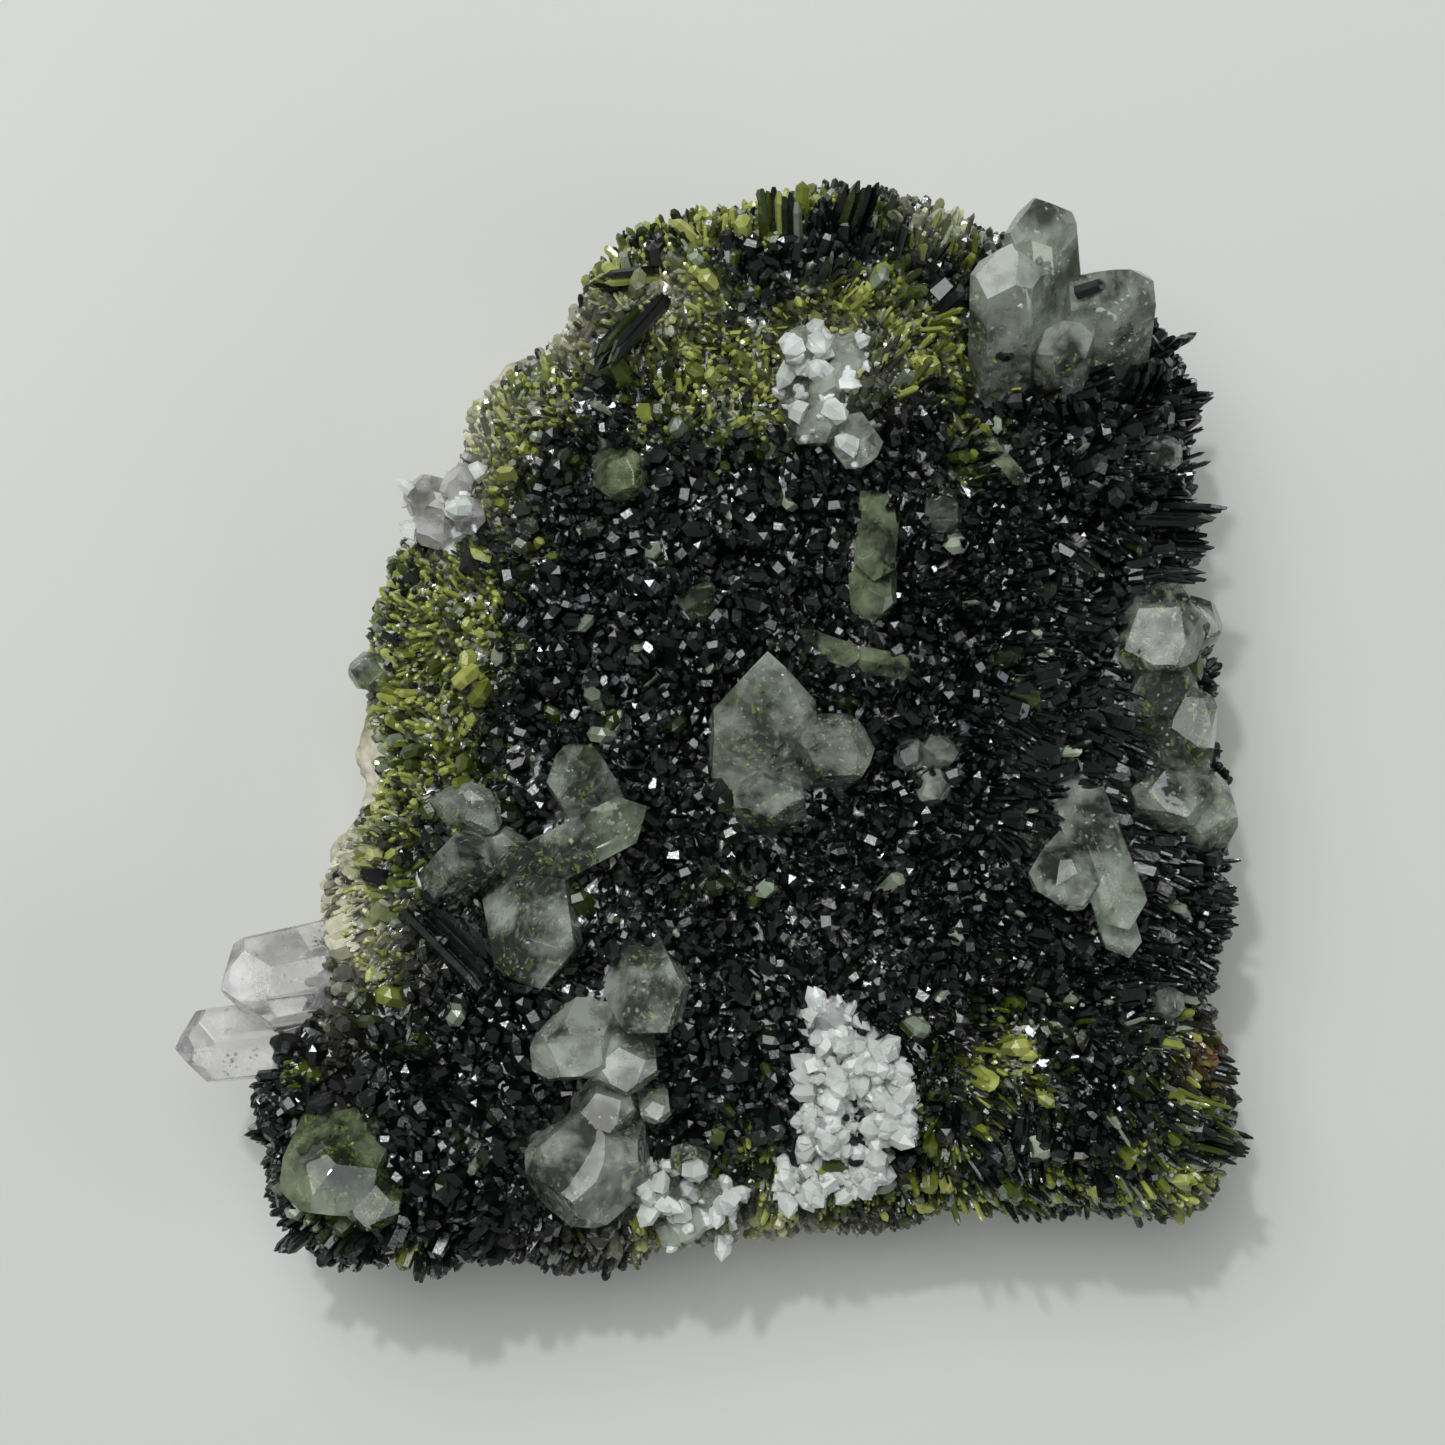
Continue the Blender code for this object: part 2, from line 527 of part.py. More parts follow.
def random_blades():
    """Blades spread over the face: each leans out towards the rim, and neighbours lean alike."""
    draw = np.random.RandomState(BLADE_SEED)
    taken = [spot[:2] for group in QUARTZ_GROUPS.values() for c in group for spot in (c.foot, c.tip)]
    taken += [c.foot[:2] for c in LARGE_BLADES]
    made = []
    for _ in range(BLADE_TRIES):
        bearing = draw.uniform(-math.pi, math.pi)
        share = math.sqrt(draw.uniform(0.0, BLADE_AREA))
        width = draw.uniform(*BLADE_WIDTH)
        turn = draw.uniform(0, 180)
        x, y = (float(part) for part in plate_places(rim_radius(bearing), share, bearing))
        if min(math.hypot(x - a, y - b) for a, b in taken) < BLADE_SPACE:
            continue
        taken.append((x, y))
        sway_x, sway_y = unevenness([(x, y, 0.0), (x, y, 50.0)], BLADE_SWAY)
        lean = BLADE_LEAN * share**2
        tip_x = x + lean * math.cos(bearing) + sway_x
        tip_y = y + lean * math.sin(bearing) + sway_y
        tip = (tip_x, tip_y, BLADE_RISE - share)
        made.append(blade((x, y, BLADE_ROOT), tip, width * BLADE_FLATNESS, width, turn))
    return made


def keep_largest(target):
    """Drops crumbs that a pocket has cut loose from the main body."""
    work = bmesh.new()
    work.from_mesh(target.data)
    left = set(work.verts)
    bodies = []
    while left:
        body, front = set(), [left.pop()]
        while front:
            corner = front.pop()
            body.add(corner)
            for edge in corner.link_edges:
                other = edge.other_vert(corner)
                if other in left:
                    left.remove(other)
                    front.append(other)
        bodies.append(body)
    bodies.sort(key=len)
    for crumb in bodies[:-1]:
        bmesh.ops.delete(work, geom=list(crumb), context="VERTS")
    work.to_mesh(target.data)
    work.free()


def make_quartz(name, group, cutters, collection):
    """The group's crystals joined in one solid, and a slightly larger cutter for its pocket."""
    solid = joined([quartz_prism(group[0], 0.0)], name, collection)
    for crystal in group[1:]:
        combine(solid, joined([quartz_prism(crystal, 0.0)], "part", collection), "UNION")
    pocket = joined([quartz_prism(group[0], POCKET_GAP * MM)], "pocket_" + name, cutters)
    for crystal in group[1:]:
        combine(pocket, joined([quartz_prism(crystal, POCKET_GAP * MM)], "part", cutters), "UNION")
    return solid, pocket


def main():
    """Makes the rock, the crust with its blades, and each group of quartz with its pocket in the crust."""
    for old in list(bpy.data.objects):
        bpy.data.objects.remove(old)
    specimen = bpy.data.collections.new("epidote_quartz_cluster")
    cutters = bpy.data.collections.new("cutters")
    bpy.context.scene.collection.children.link(specimen)
    bpy.context.scene.collection.children.link(cutters)

    rock = shaped_ball("matrix_rock", rock_shape, ROCK_KEEP, specimen)
    finish(rock, material("matrix_rock", "B9B49A", 0.85))

    crust = shaped_ball("epidote_crust", crust_shape, CRUST_KEEP, specimen)
    blades = [blade_prism(crystal) for crystal in LARGE_BLADES + random_blades()]
    combine(crust, joined(blades, "blades", cutters), "UNION")
    for name, group in QUARTZ_GROUPS.items():
        solid, pocket = make_quartz(name, group, cutters, specimen)
        finish(solid, material(name, "C9D2C6", 0.1, transmission=0.6, ior=1.54))
        combine(crust, pocket, "DIFFERENCE")
    keep_largest(crust)
    finish(crust, material("epidote_crust", "1C2618", 0.3, ior=1.75))


main()
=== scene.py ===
"""Looks of a plate of epidote crystals with quartz, built around its solids.

Sizes and places are in millimetres until a mesh is made. +X is right and +Y is the top of the specimen's
face, +Z points up from its flat back, and the camera looks straight down.
"""

import math
from collections import namedtuple

import bmesh
import bpy
import numpy as np
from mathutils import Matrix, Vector
from mathutils.bvhtree import BVHTree


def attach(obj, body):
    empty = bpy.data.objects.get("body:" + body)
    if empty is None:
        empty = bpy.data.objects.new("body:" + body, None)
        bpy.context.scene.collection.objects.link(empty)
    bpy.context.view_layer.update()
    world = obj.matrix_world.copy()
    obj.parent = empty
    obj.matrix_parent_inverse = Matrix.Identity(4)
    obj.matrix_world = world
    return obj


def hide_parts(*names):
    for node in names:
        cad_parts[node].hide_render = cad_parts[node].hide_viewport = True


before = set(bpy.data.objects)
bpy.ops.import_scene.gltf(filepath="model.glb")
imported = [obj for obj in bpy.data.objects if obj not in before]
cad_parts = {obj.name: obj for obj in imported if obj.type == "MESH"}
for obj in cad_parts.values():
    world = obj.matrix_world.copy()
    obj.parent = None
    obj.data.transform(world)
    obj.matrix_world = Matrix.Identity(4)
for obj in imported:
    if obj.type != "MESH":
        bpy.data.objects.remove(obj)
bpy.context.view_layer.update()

MM = 0.001

# Scales of patterns are lumps to a millimetre times this.
PER_MM = 1000.0

# The plate. Its levels and outline are those of the solids. The rock's margin is a little smaller, and the
# lumps of the rock and of the crust's flank are finer.
CRUST_LEVEL = 20.0
SEAM_LEVEL = 11.0
SEAM_GAP = 0.3
ROCK_CREST = 13.0
RIM_DROP = 3.5
RIM_POWER = 7
ROCK_MARGIN = 2.4
PLATE_CENTRE = (0.0, -4.0)

# Uneven ground: how high the lumps are, how large, and the seed of each layer. Creases are sharp instead.
Lumpy = namedtuple("Lumpy", "height size seed")
FACE_LUMPS = [Lumpy(0.9, 9.0, 3), Lumpy(0.6, 4.2, 5)]
CLUMPS = [Lumpy(0.75, 2.7, 75), Lumpy(0.4, 1.4, 76)]
FOOT_LUMPS = [Lumpy(1.5, 7.0, 51), Lumpy(0.8, 2.6, 52)]
WALL_LUMPS = [Lumpy(0.9, 4.5, 8), Lumpy(0.5, 1.9, 9)]
ROCK_LUMPS = [Lumpy(1.4, 7.5, 21), Lumpy(1.0, 3.4, 22), Lumpy(0.35, 0.9, 24)]
ROCK_CREASES = [Lumpy(1.1, 4.6, 26), Lumpy(0.9, 1.9, 23), Lumpy(0.4, 1.0, 25)]

OUTLINE = [
    (13.2, 44.8), (17.8, 43.5), (21.9, 41.5), (25.7, 40.0), (30.7, 36.8), (36.3, 33.5), (39.0, 28.7),
    (39.6, 21.0), (39.8, 15.0), (38.8, 11.8), (40.4, 6.8), (41.3, -1.5), (42.4, -6.5), (42.2, -12.3),
    (42.4, -16.9), (41.4, -19.8), (40.6, -23.2), (42.0, -26.9), (43.2, -32.3), (42.8, -36.5),
    (40.9, -40.6), (37.3, -41.7), (28.2, -41.1), (18.2, -41.5), (8.2, -43.0), (1.5, -44.5),
    (-5.2, -44.8), (-18.5, -45.3), (-26.8, -45.7), (-31.0, -46.4), (-34.3, -45.2), (-37.4, -41.5),
    (-38.8, -34.8), (-39.6, -31.1), (-37.3, -26.5), (-35.2, -21.5), (-33.7, -16.5), (-34.3, -10.7),
    (-31.5, -5.7), (-31.8, 0.2), (-30.8, 6.0), (-28.3, 10.6), (-26.4, 15.2), (-24.8, 18.5),
    (-22.7, 22.7), (-22.4, 27.3), (-20.2, 29.8), (-14.3, 33.5), (-11.8, 37.0), (-6.8, 41.2),
    (-0.2, 43.2), (6.5, 44.3),
]

# Broad rises and hollows of the crust: place, half-widths, height.
Swell = namedtuple("Swell", "x y across along height")
SWELLS = [
    Swell(2.0, -1.0, 20.0, 17.0, -4.5),
    Swell(6.0, 37.0, 20.0, 10.0, 3.5),
    Swell(-1.0, 33.0, 8.0, 5.0, -2.5),
    Swell(33.0, 24.0, 8.0, 9.0, 2.5),
    Swell(34.0, 0.0, 6.0, 14.0, 1.5),
    Swell(30.0, -34.0, 12.0, 7.0, 2.0),
    Swell(-26.0, -38.0, 12.0, 8.0, 2.5),
    Swell(-31.0, 0.0, 7.0, 26.0, -2.5),
    Swell(10.0, -44.0, 34.0, 6.0, -2.0),
]

# Stretches of the rim where the crust stands back and the rock shows: bearing and half-width in degrees,
# how far the crust stands back, and how far the rock comes out.
Window = namedtuple("Window", "bearing half inset proud")
WINDOWS = [
    Window(181, 32, 3.4, 2.5),
    Window(122, 24, 2.2, 2.2),
    Window(-88, 18, 1.0, 1.6),
]

# Where the epidote is fine and olive instead of black: place, half-widths, strength.
Patch = namedtuple("Patch", "x y across along strength")
OLIVE_PATCHES = [
    Patch(-27.0, 13.5, 8.5, 9.0, 0.8),
    Patch(-27.0, 5.0, 8.0, 9.0, 0.8),
    Patch(-28.5, -4.0, 7.0, 8.0, 0.85),
    Patch(-29.5, -11.5, 5.5, 7.0, 0.95),
    Patch(-19.5, 22.5, 7.0, 6.0, 1.0),
    Patch(-15.0, 29.5, 6.0, 4.5, 1.1),
    Patch(-5.2, 35.2, 5.0, 5.0, 1.4),
    Patch(3.4, 31.5, 9.0, 6.0, 1.7),
    Patch(14.6, 32.0, 5.5, 5.5, 1.6),
    Patch(1.5, 26.2, 7.0, 3.5, 1.1),
    Patch(19.0, 40.5, 4.5, 3.0, 1.0),
    Patch(-3.0, 41.2, 8.0, 2.6, 1.0),
    Patch(19.8, 21.8, 2.8, 4.0, 0.7),
    Patch(21.5, -28.0, 7.0, 4.5, 0.6),
    Patch(39.6, -28.0, 4.5, 7.0, 0.9),
    Patch(40.0, -38.0, 6.0, 4.5, 0.9),
    Patch(29.5, -40.4, 11.0, 3.0, 0.9),
    Patch(14.8, -39.6, 10.0, 3.8, 1.0),
    Patch(18.2, -33.6, 5.0, 4.0, 0.7),
    Patch(3.8, -39.0, 4.5, 5.0, 1.0),
    Patch(-4.0, -43.6, 7.0, 2.8, 1.0),
    Patch(4.0, -30.0, 3.0, 5.0, 0.5),
    Patch(-31.0, -26.0, 5.5, 3.4, 0.9),
    Patch(-28.6, -19.0, 4.5, 3.6, 1.0),
    Patch(-23.0, -45.0, 9.0, 2.4, 0.6),
    Patch(-33.0, -38.4, 3.6, 4.4, 0.7),
    Patch(2.8, -7.0, 4.0, 3.4, 0.8),
    Patch(-14.0, -13.0, 5.0, 5.0, 0.6),
    Patch(35.0, 1.0, 3.4, 9.0, 0.5),
    Patch(6.0, 42.5, 13.0, 2.6, 1.2),
    Patch(30.0, -31.0, 13.0, 7.0, 0.42),
    Patch(-19.0, 9.0, 8.0, 14.0, 0.42),
    Patch(-24.0, -8.0, 5.0, 9.0, 0.45),
    Patch(22.0, 30.0, 4.0, 6.0, 0.4),
    Patch(-31.0, -35.0, 5.0, 5.0, 0.5),
]

# Where cream rock dust lightens the grains, and where iron has stained them: place, half-widths, strength.
CREAM_PATCHES = [
    Patch(-32.4, -4.0, 2.4, 12.0, 1.4),
    Patch(-21.5, 27.5, 3.0, 4.0, 0.9),
    Patch(-14.5, 33.0, 5.0, 2.6, 0.8),
    Patch(-5.4, 35.2, 2.6, 2.4, 0.8),
    Patch(-22.6, 21.0, 3.0, 4.5, 0.6),
    Patch(-31.6, -18.5, 4.0, 3.4, 0.7),
    Patch(9.0, 29.6, 3.6, 3.0, 0.5),
    Patch(2.0, -43.6, 9.0, 2.0, 0.7),
    Patch(18.6, 42.0, 3.0, 2.0, 0.6),
]
RUST_PATCHES = [
    Patch(40.4, -28.2, 1.5, 1.8, 0.4),
    Patch(8.6, 30.2, 1.8, 1.8, 0.2),
]

# Epidote blades large enough to be told apart: foot, tip, width. Heights are above the crust at the foot.
Blade = namedtuple("Blade", "foot tip width")
LARGE_BLADES = [
    Blade((20.2, 39.2, -1.5), (22.6, 32.6, 3.4), 2.8),
    Blade((20.6, 31.4, -1.5), (24.6, 30.4, 4.6), 2.6),
    Blade((-5.6, 35.4, -1.5), (-10.4, 29.2, 3.4), 3.4),
    Blade((-5.8, 37.6, -1.5), (-10.8, 36.4, 3.0), 2.6),
    Blade((-25.6, -15.2, -1.0), (-18.8, -21.2, 3.4), 4.2),
    Blade((5.0, 39.0, -2.0), (4.6, 43.8, 3.6), 3.4),
    Blade((10.0, 40.0, -2.0), (11.6, 44.6, 3.2), 3.2),
    Blade((30.0, 24.0, -2.0), (27.6, 26.4, 4.4), 3.8),
    Blade((34.0, 26.4, -2.0), (35.4, 29.6, 4.2), 3.8),
    Blade((33.2, 17.6, -2.0), (41.4, 17.0, 2.2), 3.0),
    Blade((34.0, 15.2, -2.5), (41.4, 14.8, 0.4), 2.4),
    Blade((33.0, 13.2, -2.5), (40.6, 12.0, 0.6), 2.0),
    Blade((36.0, 26.0, -2.5), (41.0, 27.0, 0.8), 2.4),
    Blade((36.4, 31.0, -3.0), (39.6, 32.4, 0.4), 2.4),
    Blade((38.2, -13.2, -2.5), (43.8, -14.8, 0.6), 2.2),
    Blade((38.0, -17.0, -2.5), (43.6, -17.4, -0.4), 2.2),
    Blade((38.8, -28.6, -2.5), (43.8, -29.8, -0.4), 2.4),
    Blade((39.2, -34.4, -2.5), (44.4, -35.6, -0.8), 2.2),
    Blade((-35.4, -34.0, -3.0), (-40.6, -34.6, -0.6), 2.8),
    Blade((-34.2, -42.4, -3.0), (-37.6, -45.2, -0.6), 2.8),
    Blade((-24.4, -42.6, -3.0), (-24.6, -46.8, 0.0), 3.0),
    Blade((-20.6, -33.6, -2.0), (-23.4, -31.2, 4.2), 3.6),
    Blade((-19.2, -38.6, -2.0), (-21.6, -40.4, 4.4), 3.8),
    Blade((-24.6, -28.4, -2.0), (-27.2, -27.0, 3.6), 3.2),
]

# Quartz nodes by how clear the crystals are.
CLEAR_QUARTZ = ("quartz_right_long", "quartz_right_edge", "quartz_left_knob", "quartz_fin", "quartz_star",
                "quartz_right_bead", "quartz_left_group")
PALE_QUARTZ = ("quartz_crown", "quartz_centre_pair", "quartz_lower_group", "quartz_lower_bead",
               "quartz_top_lumps")
GREEN_QUARTZ = ("quartz_corner_green", "quartz_dim_point", "quartz_small_hexagon", "quartz_upright_strip",
                "quartz_ribbon", "quartz_pale_blade")
BRIGHT_QUARTZ = ("quartz_edge_pair", "quartz_white_vein", "quartz_left_druse")

# Viewing distance and frame of the camera.
VIEW_HEIGHT = 260.0
VIEW_ANGLE = 28.2
SENSOR = 36.0


def linear(hex_colour):
    """Linear red, green and blue of an sRGB colour such as "2A3B14"."""
    channels = [int(hex_colour[i : i + 2], 16) / 255 for i in (0, 2, 4)]
    return [c / 12.92 if c < 0.04045 else ((c + 0.055) / 1.055) ** 2.4 for c in channels]


def rim_radius(angle):
    """Distance from the plate's centre to its rim at an angle in radians: the outline, read in polar form."""
    away = np.array(OUTLINE) - PLATE_CENTRE
    bearings = np.arctan2(away[:, 1], away[:, 0])
    return np.interp(angle, bearings, np.hypot(away[:, 0], away[:, 1]), period=2 * math.pi)


def facing(angle, middle, half):
    """1 at an angle in degrees and 0 further than half from it, with a smooth shoulder between."""
    off = (np.degrees(angle) - middle + 180) % 360 - 180
    return np.clip(1 - (off / half) ** 2, 0, 1) ** 2


def lattice_value(i, j, k, seed):
    """A fixed random value from -1 to 1 for each whole-number place."""
    n = (i * 73856093) ^ (j * 19349663) ^ (k * 83492791) ^ (seed * 40503)
    n = ((n ^ (n >> 13)) * 1274126177) & 0xFFFFFFFF
    return ((n ^ (n >> 16)) & 0xFFFF) / 32767.5 - 1


def lumps(points, size, seed):
    """Smooth noise from -1 to 1 at points, with lumps of that size: lattice values blended by a cubic."""
    scaled = np.asarray(points, float) / size
    cell = np.floor(scaled).astype(np.int64)
    part = scaled - cell
    part = part * part * (3 - 2 * part)
    total = np.zeros(len(scaled))
    for dx in (0, 1):
        for dy in (0, 1):
            for dz in (0, 1):
                share = np.prod(np.where((dx, dy, dz), part, 1 - part), axis=1)
                total += share * lattice_value(cell[:, 0] + dx, cell[:, 1] + dy, cell[:, 2] + dz, seed)
    return total


def unevenness(points, layers):
    """The sum of layers of lumps at points."""
    return sum(layer.height * lumps(points, layer.size, layer.seed) for layer in layers)


def flat_points(x, y):
    """Places on the level plane as rows of three numbers."""
    return np.stack([x, y, np.zeros_like(x)], axis=1)


def crust_height(x, y):
    """Height of the crust's face: the plate's level, its swells, lumps, and a drop to the rim."""
    height = np.full(len(x), CRUST_LEVEL)
    for swell in SWELLS:
        reach = ((x - swell.x) / swell.across) ** 2 + ((y - swell.y) / swell.along) ** 2
        height += swell.height * np.exp(-reach)
    height += unevenness(flat_points(x, y), FACE_LUMPS)
    dx, dy = x - PLATE_CENTRE[0], y - PLATE_CENTRE[1]
    share = np.hypot(dx, dy) / rim_radius(np.arctan2(dy, dx))
    return height - RIM_DROP * np.clip(share, 0, 1.05) ** RIM_POWER


def crust_normal(x, y):
    """Upward normal of the crust's face, from the height's slope over a short step."""
    step = 0.4
    slope_x = (crust_height(x + step, y) - crust_height(x - step, y)) / (2 * step)
    slope_y = (crust_height(x, y + step) - crust_height(x, y - step)) / (2 * step)
    return unit(np.stack([-slope_x, -slope_y, np.ones_like(x)], axis=1))


def unit(vectors):
    """Rows scaled to length one."""
    return vectors / np.linalg.norm(vectors, axis=1)[:, None]


def patch_sum(patches, x, y):
    """Sum of bell-shaped patches at places."""
    total = np.zeros_like(x)
    for patch in patches:
        reach = ((x - patch.x) / patch.across) ** 2 + ((y - patch.y) / patch.along) ** 2
        total += patch.strength * np.exp(-reach)
    return total


# Lumps that break up the olive patches, the sum at which olive starts, and how much more makes it full.
OLIVE_LUMPS = [Lumpy(0.4, 5.0, 41), Lumpy(0.42, 1.8, 42)]
OLIVE_FROM = 0.12
OLIVE_SPAN = 1.25


def olive_amount(x, y):
    """0 where the epidote is black and 1 where it is olive: the patches, broken up by two sizes of lumps."""
    raw = patch_sum(OLIVE_PATCHES, x, y) + unevenness(flat_points(x, y), OLIVE_LUMPS)
    return np.clip((raw - OLIVE_FROM) / OLIVE_SPAN, 0, 1)


def clump_height(x, y):
    """How far clumps of crystals stand over the crust's face, and the gaps between them lie below it."""
    return unevenness(flat_points(x, y), CLUMPS)


# Colours of epidote from black-green to the palest olive, and the tint at which each one lies.
GROWTH_STOPS = (0.0, 0.28, 0.5, 0.72, 0.9, 1.1)
GROWTH_COLOURS = ("060808", "0E1611", "1D260D", "434E15", "717B2B", "A0A655")
FROST = "939F88"
CREAM = "CFCDB2"
RUST = "A87A50"
# The ground between the crystals is painted this much darker, as the shade down among them.
GROUND_PAINTED_SHADE = 0.35

# How far the tint strays, the share of crystals that are dark and by how much, and the painted shade of a
# clump's height: tops painted lighter, gaps painted darker.
TINT_SPREAD = (-0.42, 0.28)
DARK_SHARE = 0.36
DARK_DROP = 0.6
CLUMP_PAINTED_SHADE = 0.14


def green_colour(x, y, draw):
    """Colour of clean epidote: black-green to olive along the stops, by the olive amount and at random.

    Crystals on top of a clump are painted lighter, and those down between clumps painted darker, as painted
    shade. Where it is olive, many crystals stay black-green and a few are frosted.
    """
    olive = olive_amount(x, y)
    spread = draw.uniform(*TINT_SPREAD, len(x)) - DARK_DROP * (draw.uniform(0, 1, len(x)) < DARK_SHARE)
    # Painted shade: the clump's height makes crystals on tops lighter and those down in the gaps darker.
    tint = olive * 1.08 + spread + CLUMP_PAINTED_SHADE * clump_height(x, y)
    stops = np.array([linear(c) for c in GROWTH_COLOURS])
    colour = np.stack([np.interp(tint, GROWTH_STOPS, stops[:, i]) for i in range(3)], axis=1)
    frosted = (draw.uniform(0, 1, len(x)) < 0.01 + 0.1 * olive)[:, None]
    return np.where(frosted, np.array(linear(FROST)) * draw.uniform(0.4, 1.0, (len(x), 1)), colour)


def growth_colour(x, y, draw):
    """Colour of each crystal: that of clean epidote with its painted clump shade, then towards cream and rust
    where they lie.
    """
    colour = green_colour(x, y, draw)
    for patches, shade in ((CREAM_PATCHES, CREAM), (RUST_PATCHES, RUST)):
        share = np.clip(patch_sum(patches, x, y) * draw.uniform(0.0, 1.3, len(x)), 0, 0.92)[:, None]
        colour = colour * (1 - share) + np.array(linear(shade)) * share
    return colour


def node(tree, kind, links=(), **settings):
    """Adds a node. Settings name its properties or sockets, and links are (socket, output) pairs."""
    made = tree.nodes.new(kind)
    for key, value in settings.items():
        socket = made.inputs.get(key.replace("_", " "))
        if socket is not None:
            socket.default_value = value
        else:
            setattr(made, key, value)
    for name, output in links:
        tree.links.new(made.inputs[name], output)
    return made


def principled(name):
    """A material with its node tree and Principled shader."""
    made = bpy.data.materials.new(name)
    made.use_nodes = True
    return made, made.node_tree, made.node_tree.nodes["Principled BSDF"]


def epidote_material():
    """Epidote: glassy prisms grown in a cleft. Its high index gives strong glints on dark faces.

    Clouds a millimetre wide vary the depth and gloss, and striae a quarter of one wide roughen the faces.
    """
    made, tree, shader = principled("epidote")
    place = node(tree, "ShaderNodeTexCoord").outputs["Object"]
    colour = node(tree, "ShaderNodeAttribute", attribute_name="growth_colour").outputs["Color"]
    cloud = node(tree, "ShaderNodeTexNoise", [("Vector", place)], Scale=0.9 * PER_MM, Detail=3.0)
    lift = node(tree, "ShaderNodeMapRange", [("Value", cloud.outputs["Fac"])], To_Min=0.6, To_Max=1.5)
    shade = node(tree, "ShaderNodeVectorMath", [(0, colour), (1, lift.outputs["Result"])],
                 operation="MULTIPLY")
    tree.links.new(shader.inputs["Base Color"], shade.outputs["Vector"])
    gloss = node(tree, "ShaderNodeMapRange", [("Value", cloud.outputs["Fac"])], To_Min=0.08, To_Max=0.34)
    tree.links.new(shader.inputs["Roughness"], gloss.outputs["Result"])
    grain = node(tree, "ShaderNodeTexNoise", [("Vector", place)], Scale=3.8 * PER_MM, Detail=2.0)
    bump = node(tree, "ShaderNodeBump", [("Height", grain.outputs["Fac"])], Strength=0.35, Distance=0.06 * MM)
    tree.links.new(shader.inputs["Normal"], bump.outputs["Normal"])
    shader.inputs["IOR"].default_value = 1.74
    return made


def rock_material():
    """Vein rock of quartz and feldspar, broken with a hammer: sugary cream grains, green and tan stains.

    The stains are about seven millimetres wide and the grains just under one.
    """
    made, tree, shader = principled("vein_rock")
    place = node(tree, "ShaderNodeTexCoord").outputs["Object"]
    stain = node(tree, "ShaderNodeTexNoise", [("Vector", place)],
                 Scale=0.15 * PER_MM, Detail=5.0, Roughness=0.6)
    ramp = node(tree, "ShaderNodeValToRGB", [("Fac", stain.outputs["Fac"])])
    ramp.color_ramp.elements[0].position = 0.36
    ramp.color_ramp.elements[0].color = linear("7C7A52") + [1]
    ramp.color_ramp.elements[1].position = 0.62
    ramp.color_ramp.elements[1].color = linear("DAD8C6") + [1]
    middle = ramp.color_ramp.elements.new(0.48)
    middle.color = linear("BDB79A") + [1]
    grains = node(tree, "ShaderNodeTexVoronoi", [("Vector", place)], Scale=1.1 * PER_MM)
    dim = node(tree, "ShaderNodeMapRange", [("Value", grains.outputs["Distance"])], To_Min=1.12, To_Max=0.7)
    shade = node(tree, "ShaderNodeVectorMath",
                 [(0, ramp.outputs["Color"]), (1, dim.outputs["Result"])], operation="MULTIPLY")
    tree.links.new(shader.inputs["Base Color"], shade.outputs["Vector"])
    bump = node(tree, "ShaderNodeBump", [("Height", grains.outputs["Distance"])],
                Strength=0.6, Distance=0.3 * MM)
    tree.links.new(shader.inputs["Normal"], bump.outputs["Normal"])
    shader.inputs["Roughness"].default_value = 0.7
    return made


# Quartz's index, and how much of the transmission the thickest veil takes. Veils are five millimetres wide.
QUARTZ_INDEX = 1.544
VEIL_DEPTH = 0.34


def quartz_material(name, hex_body, clear, cloud_from, hex_absorb, density):
    """Quartz grown in a cleft: glassy and see-through, dimmed by absorption.

    It is milky where a noise is over cloud_from, by up to the veil's depth off the clear transmission.
    """
    made, tree, shader = principled(name)
    place = node(tree, "ShaderNodeTexCoord").outputs["Object"]
    veil = node(tree, "ShaderNodeTexNoise", [("Vector", place)],
                Scale=0.2 * PER_MM, Detail=5.0, Roughness=0.6)
    cloud = node(tree, "ShaderNodeMapRange", [("Value", veil.outputs["Fac"])],
                 From_Min=cloud_from, From_Max=cloud_from + 0.2, To_Min=clear, To_Max=clear - VEIL_DEPTH)
    tree.links.new(shader.inputs["Transmission Weight"], cloud.outputs["Result"])
    rough = node(tree, "ShaderNodeMapRange", [("Value", veil.outputs["Fac"])],
                 From_Min=0.5, From_Max=0.72, To_Min=0.015, To_Max=0.16)
    tree.links.new(shader.inputs["Roughness"], rough.outputs["Result"])
    ripple = node(tree, "ShaderNodeTexNoise", [("Vector", place)], Scale=0.42 * PER_MM, Detail=2.0)
    bump = node(tree, "ShaderNodeBump", [("Height", ripple.outputs["Fac"])], Strength=0.12, Distance=0.1 * MM)
    tree.links.new(shader.inputs["Normal"], bump.outputs["Normal"])
    shader.inputs["Base Color"].default_value = linear(hex_body) + [1]
    shader.inputs["IOR"].default_value = QUARTZ_INDEX
    absorb = node(tree, "ShaderNodeVolumeAbsorption", Color=linear(hex_absorb) + [1], Density=density)
    tree.links.new(tree.nodes["Material Output"].inputs["Volume"], absorb.outputs["Volume"])
    return made


def fleck_material():
    """Healed cracks and trapped fluid inside quartz, which the eye sees as white wisps."""
    made, tree, shader = principled("quartz_veil_flecks")
    place = node(tree, "ShaderNodeTexCoord").outputs["Object"]
    cloud = node(tree, "ShaderNodeTexNoise", [("Vector", place)], Scale=0.7 * PER_MM, Detail=2.0)
    ramp = node(tree, "ShaderNodeValToRGB", [("Fac", cloud.outputs["Fac"])])
    ramp.color_ramp.elements[0].color = linear("9FAAA0") + [1]
    ramp.color_ramp.elements[1].color = linear("F4F7F3") + [1]
    tree.links.new(shader.inputs["Base Color"], ramp.outputs["Color"])
    shader.inputs["Roughness"].default_value = 0.35
    return made


